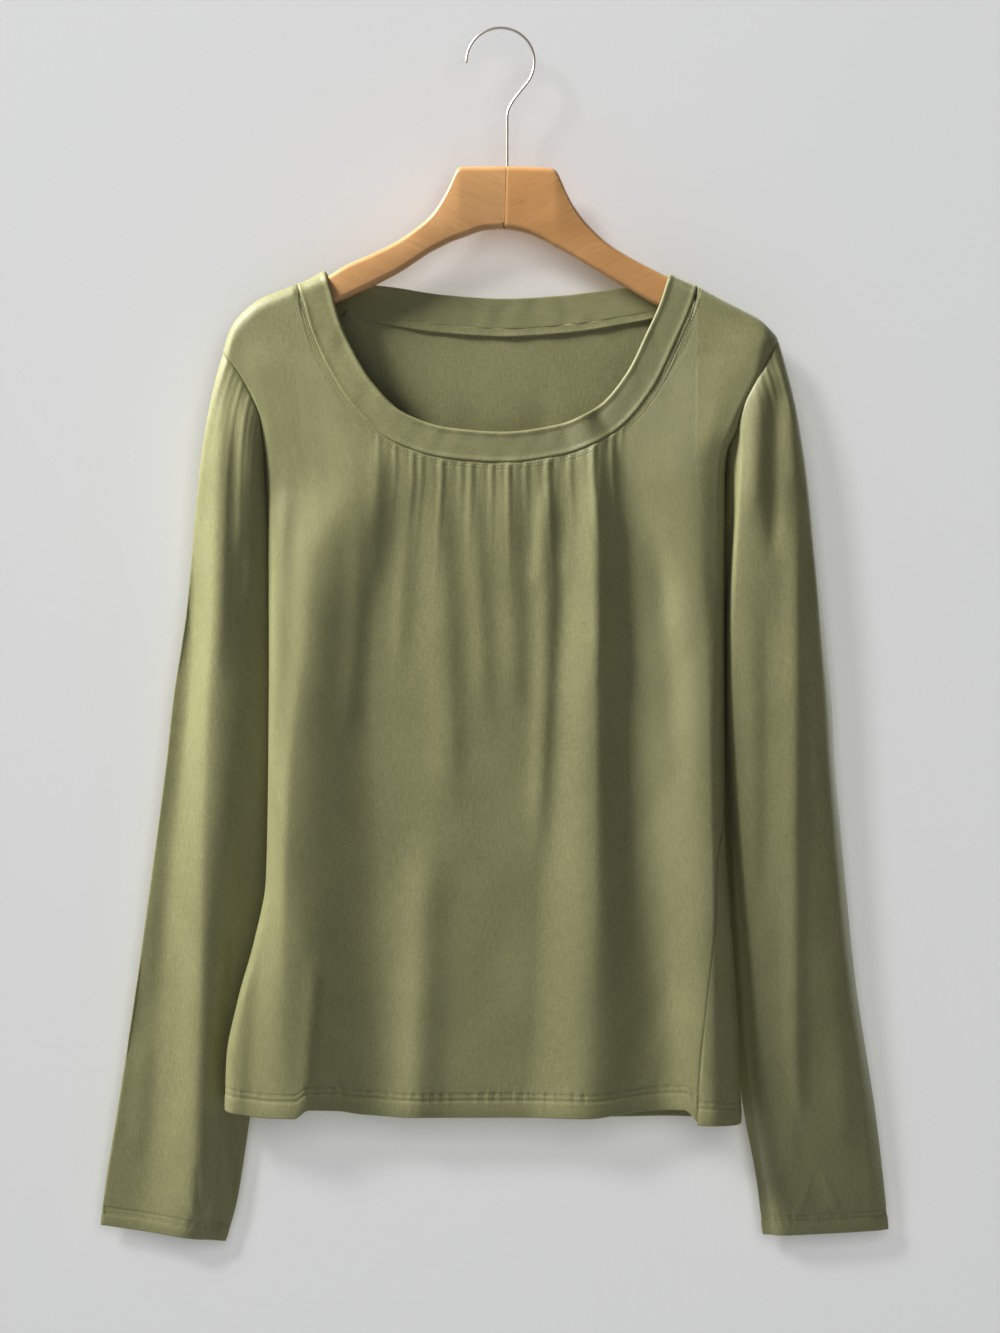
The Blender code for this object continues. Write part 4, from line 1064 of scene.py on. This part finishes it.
def back_grid():
    """The back panel's outer face, with its columns closest together at the neck's corners."""
    share = np.linspace(0, 1, BACK_NECK_COLUMNS)
    first_x, last_x = NECK_BACK["x"][[0, -1]]
    neck_x = first_x + (last_x - first_x) * (0.6 * share + 0.4 * smooth(share))
    x, seam, lean = neck_line(NECK_BACK, neck_x, NECK_GAP)
    none = [0.0] * PANEL_EDGE_COLUMNS
    columns = []
    for column, seam_drop in zip(panel_columns(back_share, x[0], x, x[-1]), [*none, *seam, *none]):
        drop, length = hanging_line(back_span, column, SIDE_GAP / 2)
        shoulder = SHOULDER_GAP / 2 + SEAM_BEHIND_RIDGE
        top = max(np.interp(seam_drop, drop, length), shoulder)
        hem_drop = curve(BACK_HEM["along"], BACK_HEM["drop"], column(HEM_LEVEL))
        rows = panel_rows(top, np.interp(hem_drop, drop, length))
        columns.append(down_column(back_span, column, rows, SIDE_GAP / 2))
    lean = np.array([*none, *lean, *none])
    return with_small_folds(np.stack(columns, axis=1), BACK_CREASES, 1, BACK_WAVES, lean)


back = back_grid()
back_cloth = with_turned_up_hem(back, False, BODY_STITCHES, 5)
back_piece = cloth_piece("back_panel", back_cloth, True, False, JERSEY_THICK, "back")


# Where the band joins the back, the seam's trimmed edge was overlocked and hangs down inside,
# so it shows through the scoop as a narrow ribbed strip.
STRIP_DEEP = 6.0
STRIP_THICK = 0.8
STRIP_LEFT_X = -108.0
STRIP_RIGHT_X = 112.0
STRIP_OFF_CLOTH = 0.25


def strip_grid():
    """The strip's face towards the scoop, hanging from the seam and waving a little."""
    x = np.linspace(STRIP_LEFT_X, STRIP_RIGHT_X, 150)
    rows = []
    for below in (-0.6, 0.8, 2.2, 3.6, 4.9, STRIP_DEEP):
        row_x, row_drop, _ = neck_line(NECK_BACK, x, below)
        lean = STRIP_OFF_CLOTH + 0.5 * (below / STRIP_DEEP) ** 2
        lean = lean + 0.22 * np.sin(row_x / 5.1) * (below / STRIP_DEEP) ** 2
        y = back_depth(row_x, row_drop) * np.sin(over_arm(row_x, row_drop))
        rows.append(np.stack([row_x, y - JERSEY_THICK - lean, -row_drop], axis=-1))
    return np.stack(rows)


strip_cloth = strip_grid()
strip_piece = cloth_piece("neck_seam_allowance", strip_cloth, False, False, STRIP_THICK)


# The neckband is a strip of the same jersey, folded double and sewn on round the scoop, so its
# free edge is a soft fold. Its other edge runs a little way past the seam, over the panels.
BAND_WIDE = 21.0
BAND_THICK = 1.7
BAND_OVER_SEAM = 0.7
BAND_ROLL = 0.45
BAND_ROLL_WIDE = 1.7
BAND_STATION_EVERY = 1.9
BAND_ACROSS = 25
BAND_END_STEPS = 5
BAND_LINES = 15
BAND_WAVE = 0.16


def neck_stations():
    """Places along the seam, front and back, with the lean of the band and its depth."""
    stretches = []
    for line, depth, sign in ((NECK_FRONT, front_depth, -1), (NECK_BACK, back_depth, 1)):
        reach = along_seam(line)
        at = np.linspace(0, reach[-1], int(reach[-1] / BAND_STATION_EVERY) + 1)[:-1]
        x, drop, lean = (curve(reach, line[name], at) for name in ("x", "drop", "lean"))
        stretches.append((x, drop, lean, depth(x, drop), np.full_like(x, sign)))
    return [np.concatenate(values) for values in zip(*stretches)]


def band_surface(across):
    """Points on the neck's surface this far in from the seam, right round the neck."""
    x, drop, lean, depth, sign = neck_stations()
    turn = np.radians(lean)
    row_x = x[None] + across[:, None] * np.cos(turn)
    row_drop = drop[None] - across[:, None] * np.sin(turn)
    y = sign * depth * np.sin(over_arm(row_x, row_drop))
    return np.stack([row_x, y, -row_drop], axis=-1)


def band_grid():
    """Closed section of the band, carried right round: its outer face, fold, inner face, edge."""
    half = BAND_THICK / 2
    flat = np.linspace(half - BAND_OVER_SEAM, BAND_WIDE - half, BAND_ACROSS)
    rolled = sum(
        BAND_ROLL * np.exp(-(((flat - at) / BAND_ROLL_WIDE) ** 2))
        for at in (flat[0] + 0.6, BAND_WIDE - half - 0.8)
    )
    bend = np.linspace(0, math.pi, BAND_END_STEPS + 2)[1:-1]
    across = np.concatenate([
        flat, BAND_WIDE - half + half * np.sin(bend), flat[::-1], flat[0] - half * np.sin(bend),
    ])
    height = np.concatenate([
        half + rolled, half * np.cos(bend), np.full(BAND_ACROSS, -half), -half * np.cos(bend),
    ])
    middle = band_surface(np.linspace(0, BAND_WIDE, BAND_LINES))
    normals = outward_normals(middle, False, True)
    x, drop, lean, depth, sign = neck_stations()
    outward = normals if (normals[7, :, 1] * sign).mean() > 0 else -normals
    rows = []
    for at, lift in zip(across, height):
        share = at / BAND_WIDE * (BAND_LINES - 1)
        low = min(int(share), BAND_LINES - 2)
        spot = middle[low] + (middle[low + 1] - middle[low]) * (share - low)
        out = outward[low] + (outward[low + 1] - outward[low]) * (share - low)
        rows.append(spot + out * (lift - half))
    grid = np.stack(rows, axis=1)
    wave = slow_waves(19, grid[..., 0] + 2 * grid[..., 1], -grid[..., 2], 16)
    out = outward[7][:, None]
    return grid + out * (BAND_WAVE * wave)[..., None]


band_cloth = band_grid()
ring = np.concatenate([band_cloth, band_cloth[:1]])
band_flat = flat_places(ring, True)[..., ::-1]
band_mesh = grid_mesh("neck_band", ring, True, True, flat=band_flat)
# The last station lies on the first, and the two are joined.
joined = bmesh.new()
joined.from_mesh(band_mesh)
bmesh.ops.remove_doubles(joined, verts=joined.verts, dist=1e-6)
joined.to_mesh(band_mesh)
joined.free()
band_piece = add_piece("neck_band", band_mesh, sage, "sage_jersey", "neckband")


# Each sleeve is one tapered piece of the same jersey, closed along the underarm, eased into the
# armhole in small folds over the shoulder, and turned up once at the cuff. It hangs flattened.
ARMHOLE_GAP = 0.2
UNDERARM = 393.0
SLEEVE_COLUMNS_ROUND = 168
CAP_ROWS = 46
SLEEVE_ROWS = 96
CUFF_STITCHES_LEFT = (12.9, 9.6)
CUFF_STITCHES_RIGHT = (14.9, 11.4)
LEFT_LINES = {
    "inner": 0.0, "crease": 0.36, "front": 0.43, "flank": 0.47, "outer": 0.5, "back": 0.75,
}
RIGHT_LINES = {
    "inner": 0.0, "crease": 0.27, "front": 0.33, "flank": 0.47, "outer": 0.5, "back": 0.75,
}
COLUMN_SHARES = ((0.0, 0.22, 0.66, 1.0), (0.0, 0.26, 0.53, 1.0))
SLEEVE_COLUMNS = (
    "drop outer_x outer_y flank_x flank_y front_x front_y crease_x crease_y "
    "inner_x inner_y back_x back_y slant"
)
LEFT_SLEEVE = table(
    SLEEVE_COLUMNS,
    (428, -223.6, 9.0, -216.5, 8.0, -200.5, -8.0, -178.5, -4.5, -142.0, 21.5, -182.0, 31.0, 0),
    (470, -230.3, 9.5, -219.0, 8.5, -203.5, -7.8, -179.5, -4.0, -143.0, 21.5, -188.0, 31.0, 0),
    (512, -234.9, 10.0, -223.0, 9.0, -205.0, -7.5, -180.5, -3.0, -145.0, 21.5, -191.0, 31.0, 0),
    (596, -246.0, 11.0, -231.5, 10.0, -208.0, -5.5, -186.0, 3.5, -153.7, 22.0, -200.6, 31.5, 1),
    (680, -258.0, 13.0, -238.0, 12.4, -209.5, -2.0, -192.0, 11.0, -165.0, 22.5, -211.8, 31.5, 4),
    (757, -269.9, 15.0, -243.5, 14.4, -213.0, 2.0, -197.0, 13.0, -178.2, 23.0, -223.0, 31.5, 8),
    (813, -279.0, 16.0, -250.0, 15.8, -216.0, 5.0, -202.0, 14.0, -188.0, 23.0, -232.8, 31.0, 11),
    (841, -282.5, 17.0, -252.4, 15.0, -222.0, 9.0, -206.9, 15.5, -196.4, 23.0, -238.4, 31.0, 12),
)
RIGHT_SLEEVE = table(
    SLEEVE_COLUMNS,
    (428, 228.6, 10.0, 221.5, -11.5, 163.0, -13.5, 157.3, 4.0, 133.0, 21.5, 188.0, 31.0, 0),
    (470, 232.7, 10.5, 225.0, -10.5, 163.6, -13.5, 157.8, 5.0, 137.5, 21.5, 188.7, 31.0, 0),
    (512, 235.2, 11.0, 227.5, -9.0, 165.5, -12.5, 159.8, 6.0, 141.8, 21.5, 192.0, 31.0, 0),
    (596, 242.6, 11.5, 234.0, -6.5, 172.0, -10.5, 163.5, 8.0, 152.3, 22.0, 200.0, 31.5, 0),
    (680, 251.7, 12.5, 243.0, -2.5, 180.0, -7.0, 169.5, 9.5, 165.0, 20.0, 209.7, 31.5, 1),
    (757, 263.6, 14.0, 254.0, 2.0, 188.0, -1.5, 177.5, 10.5, 175.0, 19.0, 220.2, 31.5, 2),
    (813, 270.9, 15.5, 260.0, 7.0, 197.0, 3.5, 187.0, 13.0, 185.2, 20.0, 228.6, 31.0, 3),
    (844, 274.0, 16.5, 262.0, 11.0, 202.5, 8.5, 192.0, 14.5, 188.3, 21.0, 232.0, 31.0, 4),
)
# Way that the cloth leaves the armhole, round from the underarm over the front, and how far it
# is pulled that way before it hangs.
SLEEVE_START = table(
    "around outward behind down pull",
    (0.0, 0.0, 0.75, 0.65, 1.0), (0.10, 0.3, -0.3, 0.8, 0.5), (0.20, 0.2, -0.6, 0.75, 0.35),
    (0.30, 0.3, -0.4, 0.85, 0.35), (0.37, 0.35, -0.3, 0.85, 0.45),
    (0.44, 0.4, -0.2, 0.9, 0.7), (0.5, 0.3, 0.0, 0.95, 1.0), (0.65, 0.7, 0.4, 0.6, 1.0),
    (0.85, 0.4, 0.85, 0.3, 1.0), (1.0, 0.0, 0.75, 0.65, 1.0),
)
# Small folds where the sleeve is eased into the armhole, each from the seam down.
LEFT_HEAD_FOLDS = table(
    "around high half_width long",
    (0.368, 0.25, 0.007, 90), (0.386, 0.45, 0.007, 150), (0.402, 0.2, 0.005, 60),
    (0.415, 0.5, 0.006, 170), (0.431, 0.2, 0.005, 50), (0.446, 0.35, 0.005, 90),
    (0.464, 0.2, 0.006, 50), (0.530, 0.4, 0.010, 50), (0.562, 0.5, 0.012, 60),
    (0.600, 0.4, 0.014, 66),
)
RIGHT_HEAD_FOLDS = table(
    "around high half_width long",
    (0.385, 0.2, 0.007, 60), (0.404, 0.35, 0.006, 60), (0.424, 0.8, 0.005, 40),
    (0.440, 0.2, 0.005, 40), (0.456, 0.6, 0.006, 110), (0.476, 0.25, 0.007, 70),
    (0.525, 0.4, 0.010, 50), (0.560, 0.5, 0.012, 66), (0.598, 0.4, 0.014, 60),
)
LEFT_SLEEVE_CREASES = table(
    "a_x a_drop b_x b_drop bow high left right",
    (-195.5, 252, -200, 470, 2, 2.2, 8.0, 8.0), (-178.5, 250, -181, 380, 0, 1.6, 5.0, 6.5),
    (-172, 275, -176, 420, 0, 0.7, 4.0, 5.0), (-211, 836, -226, 806, 0, 0.8, 2.4, 2.4),
    (-209, 836, -197, 802, 0, 0.9, 2.4, 2.4), (-211, 836, -213, 796, 0, -0.7, 2.6, 2.6),
    (-250, 700, -257, 800, 0, 0.9, 6.0, 6.0), (-226, 640, -232, 780, 2, -0.8, 8.0, 7.0),
    (-240, 560, -250, 690, 0, 0.6, 5.0, 6.0), (-190, 520, -196, 700, 2, 0.9, 8.0, 8.0),
)
RIGHT_SLEEVE_CREASES = table(
    "a_x a_drop b_x b_drop bow high left right",
    (179.5, 232, 176, 350, 0, 1.8, 9.0, 7.0), (190.5, 246, 190, 380, 0, -1.8, 6.0, 6.0),
    (200.5, 252, 206, 330, 0, 1.2, 5.0, 5.0), (206, 310, 206, 620, 0, 2.2, 8.0, 5.5),
    (184, 380, 183, 640, 2, -1.0, 7.0, 8.0), (206, 560, 208, 800, -1, 1.7, 8.0, 6.0),
    (216, 350, 222, 560, 0, 0.9, 9.0, 7.0), (198, 720, 214, 800, 0, -0.7, 5.0, 5.0),
    (232, 640, 243, 790, 0, 0.8, 9.0, 8.0), (224, 800, 238, 832, 0, 0.7, 3.0, 3.0),
    (206, 836, 218, 806, 0, 0.7, 2.6, 2.6),
)


def closed_curve(knots, values, at):
    """Smooth curve through the values round a ring of length 1."""
    knots = np.concatenate([[knots[-1] - 1], knots, [1.0, 1 + knots[1]]])
    values = np.concatenate([values[-1:], values, values[:2]])
    slopes = (values[2:] - values[:-2]) / (knots[2:] - knots[:-2])
    at = np.mod(at, 1.0)
    i = np.clip(np.searchsorted(knots[1:-1], at, side="right") - 1, 0, len(slopes) - 2)
    step = knots[i + 2] - knots[i + 1]
    t = (at - knots[i + 1]) / step
    a, b = values[i + 1], values[i + 2]
    lift = step * (t * (1 - t) ** 2 * slopes[i] - t * t * (1 - t) * slopes[i + 1])
    return a + (b - a) * t * t * (3 - 2 * t) + lift


def resample(points, shares):
    """Points at these shares of the length of a line."""
    length = np.concatenate([[0], np.cumsum(np.linalg.norm(np.diff(points, axis=0), axis=1))])
    at = np.asarray(shares) * length[-1]
    return np.stack([np.interp(at, length, points[:, i]) for i in range(3)], axis=-1)


def sleeve_ring(lines, starts, around, drop):
    """Points round a sleeve at this drop, from the six lines along it."""
    knots = np.array(list(starts.values()))
    x, y = (
        closed_curve(
            knots,
            np.array([curve(lines["drop"], lines[line + axis], drop) for line in starts]),
            around,
        )
        for axis in ("_x", "_y")
    )
    outer = curve(lines["drop"], lines["outer_x"], drop)
    inner = curve(lines["drop"], lines["inner_x"], drop)
    slant = curve(lines["drop"], lines["slant"], drop)
    down = drop + slant * (x - outer) / (inner - outer)
    return np.stack([x, y, -down], axis=-1)


def panel_edge(grid, column):
    """Edge of a panel from the shoulder down to the underarm, where it joins the sleeve."""
    edge = grid[:, column]
    above = edge[-edge[:, 2] < UNDERARM]
    after = edge[len(above)]
    share = (UNDERARM + above[-1, 2]) / (above[-1, 2] - after[2])
    return np.concatenate([above, [above[-1] + (after - above[-1]) * share]])


def sleeve_grid(lines, starts, front_edge, back_edge, outward, head_folds, creases, seed):
    """Rows from the armhole down to the cuff, with the sleeve's own points round each."""
    around = np.interp(np.linspace(0, 1, SLEEVE_COLUMNS_ROUND + 1)[:-1], *COLUMN_SHARES)
    on_front = around <= 0.5
    edge = np.concatenate([
        resample(front_edge[::-1], around[on_front] * 2),
        resample(back_edge, around[~on_front] * 2 - 1),
    ])
    start = np.stack([
        outward * curve(SLEEVE_START["around"], SLEEVE_START["outward"], around),
        curve(SLEEVE_START["around"], SLEEVE_START["behind"], around),
        -curve(SLEEVE_START["around"], SLEEVE_START["down"], around),
    ], axis=-1)
    start /= np.linalg.norm(start, axis=1, keepdims=True)
    edge = edge + start * ARMHOLE_GAP
    first = lines["drop"][0]
    ring = sleeve_ring(lines, starts, around, first)
    onward = sleeve_ring(lines, starts, around, first + 6.0) - ring
    onward /= np.linalg.norm(onward, axis=1, keepdims=True)
    reach = np.linalg.norm(ring - edge, axis=1, keepdims=True)
    pull = curve(SLEEVE_START["around"], SLEEVE_START["pull"], around)[:, None]
    rows = []
    for t in np.linspace(0, 1, CAP_ROWS + 1)[:-1] ** 1.5:
        row = (
            (2 * t**3 - 3 * t**2 + 1) * edge
            + (t**3 - 2 * t**2 + t) * start * reach * pull
            + (3 * t**2 - 2 * t**3) * ring
            + (t**3 - t**2) * onward * reach
        )
        rows.append(row)
    bottom = lines["drop"][-1]
    rows += [
        sleeve_ring(lines, starts, around, drop)
        for drop in np.linspace(first, bottom - HEM_STEPS[0], SLEEVE_ROWS + 1)[:-1]
    ]
    rows += [sleeve_ring(lines, starts, around, bottom - above) for above in HEM_STEPS]
    grid = np.stack(rows)
    normals = outward_normals(grid, outward < 0, True)
    down = along_columns(grid)
    lift = np.zeros_like(down)
    for where, high, half_width, long in zip(*head_folds.values()):
        bump = high * np.exp(-(((around - where) / half_width) ** 2))
        lift += bump * np.clip(1 - down / long, 0, 1) ** 1.2 * smooth(down / GATHER_START)
    x, drop = grid[..., 0], -grid[..., 2]
    facing = smooth((-normals[..., 1] - 0.1) / 0.5)
    lift += crease_height(creases, x, drop) * facing
    waves = slow_waves(seed, x + 3 * grid[..., 1], drop, SLEEVE_WAVES_SIZE)
    lift += SLEEVE_WAVES_HIGH * waves * smooth(down / 40)
    lift -= seam_groove(down)
    return grid + normals * lift[..., None]


sleeves = {}
for name, lines, starts, column, outward, head_folds, creases, stitches, seed in (
    ("left", LEFT_SLEEVE, LEFT_LINES, 0, -1, LEFT_HEAD_FOLDS, LEFT_SLEEVE_CREASES,
     CUFF_STITCHES_LEFT, 23),
    ("right", RIGHT_SLEEVE, RIGHT_LINES, -1, 1, RIGHT_HEAD_FOLDS, RIGHT_SLEEVE_CREASES,
     CUFF_STITCHES_RIGHT, 29),
):
    back_column = -1 if column == 0 else 0
    grid = sleeve_grid(
        lines, starts, panel_edge(front, column), panel_edge(back, back_column), outward,
        head_folds, creases, seed,
    )
    cloth = with_turned_up_hem(grid, outward < 0, stitches, seed + 1, True)
    sleeves[name] = cloth[: len(grid)]
    label = "sleeve_" + name
    piece = cloth_piece(label + "_cloth", cloth, outward > 0, True, JERSEY_THICK, label)


# Every seam that shows is sewn with sage polyester thread: two rows of coverstitch round the
# neck, two rows at the hem and at each cuff, and the overlocking along the strip inside.
THREAD_RADIUS = 0.2
STITCH_LONG = 2.0
STITCH_PITCH = 2.6
OVERLOCK_PITCH = 2.1
OVERLOCK_RADIUS = 0.42
OVERLOCK_LEAN = 78
EDGE_STITCH_LONG = 1.9
EDGE_RADIUS = 0.4
EDGE_LEAN = 12
THREAD_OUT = 0.35
SEWING_SIZES = ("Pitch", "Stitch length", "Thread radius", "Lean")


def sewing_tree(thread):
    """Evenly spaced stitches along a line, each a small rounded bead of thread."""
    tree = bpy.data.node_groups.new("sewn_row", "GeometryNodeTree")
    face = tree.interface
    face.new_socket(name="Line", in_out="INPUT", socket_type="NodeSocketGeometry")
    for label in SEWING_SIZES:
        face.new_socket(name=label, in_out="INPUT", socket_type="NodeSocketFloat")
    face.new_socket(name="Stitches", in_out="OUTPUT", socket_type="NodeSocketGeometry")
    start = add_node(tree, "NodeGroupInput").outputs
    line = add_node(tree, "GeometryNodeMeshToCurve", {0: start["Line"]})
    even = add_node(tree, "GeometryNodeResampleCurve", {
        "Curve": line.outputs[0], "Length": start["Pitch"],
    }, mode="LENGTH")
    bead = add_node(tree, "GeometryNodeMeshUVSphere", {"Segments": 6, "Rings": 4, "Radius": 1.0})
    half = times(tree, start["Stitch length"], 0.5)
    size = add_node(tree, "ShaderNodeCombineXYZ", {
        "X": start["Thread radius"], "Y": start["Thread radius"], "Z": half,
    })
    tangent = add_node(tree, "GeometryNodeInputTangent")
    lean = add_node(tree, "ShaderNodeVectorRotate", {
        "Axis": (0, 1, 0), "Vector": tangent.outputs[0], "Angle": start["Lean"],
    })
    aim = add_node(tree, "FunctionNodeAlignRotationToVector", {"Vector": lean.outputs[0]}, axis="Z")
    put = add_node(tree, "GeometryNodeInstanceOnPoints", {
        "Points": even.outputs[0], "Instance": bead.outputs["Mesh"],
        "Rotation": aim.outputs[0], "Scale": size.outputs[0],
    })
    real = add_node(tree, "GeometryNodeRealizeInstances", {0: put.outputs[0]})
    paint = add_node(tree, "GeometryNodeSetMaterial", {
        "Material": thread, "Geometry": real.outputs[0],
    })
    add_node(tree, "NodeGroupOutput", {0: paint.outputs[0]})
    return tree


def sewing_thread():
    """Twisted polyester thread, a little paler and glossier than the jersey."""
    made, tree, shader = new_material("sage_thread")
    place = on_object(tree)
    twist = add_node(tree, "ShaderNodeTexWave", {
        "Scale": 2600.0, "Distortion": 0.6, "Vector": place,
    }, bands_direction="DIAGONAL").outputs["Fac"]
    both = plus(tree, times(tree, twist, 0.4), noise(tree, place, 45.0))
    dark, light = (0.235, 0.225, 0.10, 1), (0.35, 0.34, 0.17, 1)
    colour = mixed(tree, ramp(tree, both, 0.3, 1.1), dark, light)
    feed(tree, shader, {"Base Color": colour, "Roughness": 0.45})
    relief(tree, shader, twist, 0.00003)
    return made


thread = sewing_thread()
tree = sewing_tree(thread)


def sew(name, line, closed, pitch=STITCH_PITCH, long=STITCH_LONG, radius=THREAD_RADIUS, lean=0):
    """Row of stitches along a line of points, as a plain mesh that rides with the top."""
    ends = range(len(line))
    edges = list(zip(ends[:-1], ends[1:])) + ([(ends[-1], 0)] if closed else [])
    path = bpy.data.meshes.new(name + "_line")
    path.from_pydata((np.asarray(line) * MM).tolist(), edges, [])
    row = bpy.data.objects.new(name + "_line", path)
    bpy.context.scene.collection.objects.link(row)
    work = row.modifiers.new("sewing", "NODES")
    work.node_group = tree
    values = (pitch * MM, long * MM, radius * MM, math.radians(lean))
    for item in tree.interface.items_tree:
        if item.in_out == "INPUT" and item.name in SEWING_SIZES:
            work[item.identifier] = values[SEWING_SIZES.index(item.name)]
    bpy.context.view_layer.update()
    shown = row.evaluated_get(bpy.context.evaluated_depsgraph_get())
    mesh = bpy.data.meshes.new_from_object(shown)
    mesh.name = name
    mesh.shade_smooth()
    bpy.data.objects.remove(row)
    return add_piece(name, mesh, thread, "sage_jersey")


def at_height(grid, above, flip, around=False):
    """Line along a panel this far above its folded edge, just proud of the cloth."""
    down = along_columns(grid)
    left = down[-1] - down + HEM_STEPS[-1]
    points = grid + outward_normals(grid, flip, around) * THREAD_RADIUS * THREAD_OUT
    return np.array([
        [np.interp(above, left[::-1, c], points[::-1, c, i]) for i in range(3)]
        for c in range(grid.shape[1])
    ])


def cloth_finder(*grids):
    """Nearest place on the outer face of these panels, and the way out of it."""
    points, faces = [], []
    for grid in grids:
        number = np.arange(grid[..., 0].size).reshape(grid.shape[:2]) + len(points)
        quads = [number[:-1, :-1], number[:-1, 1:], number[1:, 1:], number[1:, :-1]]
        points += grid.reshape(-1, 3).tolist()
        faces += np.stack(quads, axis=-1).reshape(-1, 4)[:, ::-1].tolist()
    return BVHTree.FromPolygons(points, faces)


body_cloth = cloth_finder(front, back)
for number, below in enumerate(NECK_STITCH_ROWS, 1):
    line = []
    for spot in band_surface(np.array([-below]))[0]:
        near, out, _, _ = body_cloth.find_nearest(spot.tolist())
        line.append(np.array(near) + np.array(out) * THREAD_RADIUS * THREAD_OUT)
    sew(f"neck_coverstitch_{number}", line, True)

for number, above in enumerate(BODY_STITCHES, 1):
    for label, grid in (("front", front_cloth), ("back", back_cloth)):
        sew(f"{label}_hem_stitch_{number}", at_height(grid[: len(front)], above, False), False)
for label, heights in (("left", CUFF_STITCHES_LEFT), ("right", CUFF_STITCHES_RIGHT)):
    for number, above in enumerate(heights, 1):
        line = at_height(sleeves[label], above, label == "left", True)
        sew(f"cuff_stitch_{label}_{number}", line, True)

inside = strip_cloth[2:4].mean(axis=0) - [0, 0.1, 0]
loop_long = STRIP_DEEP - 0.4
sew("overlock_loops", inside, False, OVERLOCK_PITCH, loop_long, OVERLOCK_RADIUS, OVERLOCK_LEAN)
lower = strip_cloth[-1] - [0, STRIP_THICK * 0.5, 0]
sew("overlock_edge", lower, False, OVERLOCK_PITCH, EDGE_STITCH_LONG, EDGE_RADIUS, EDGE_LEAN)
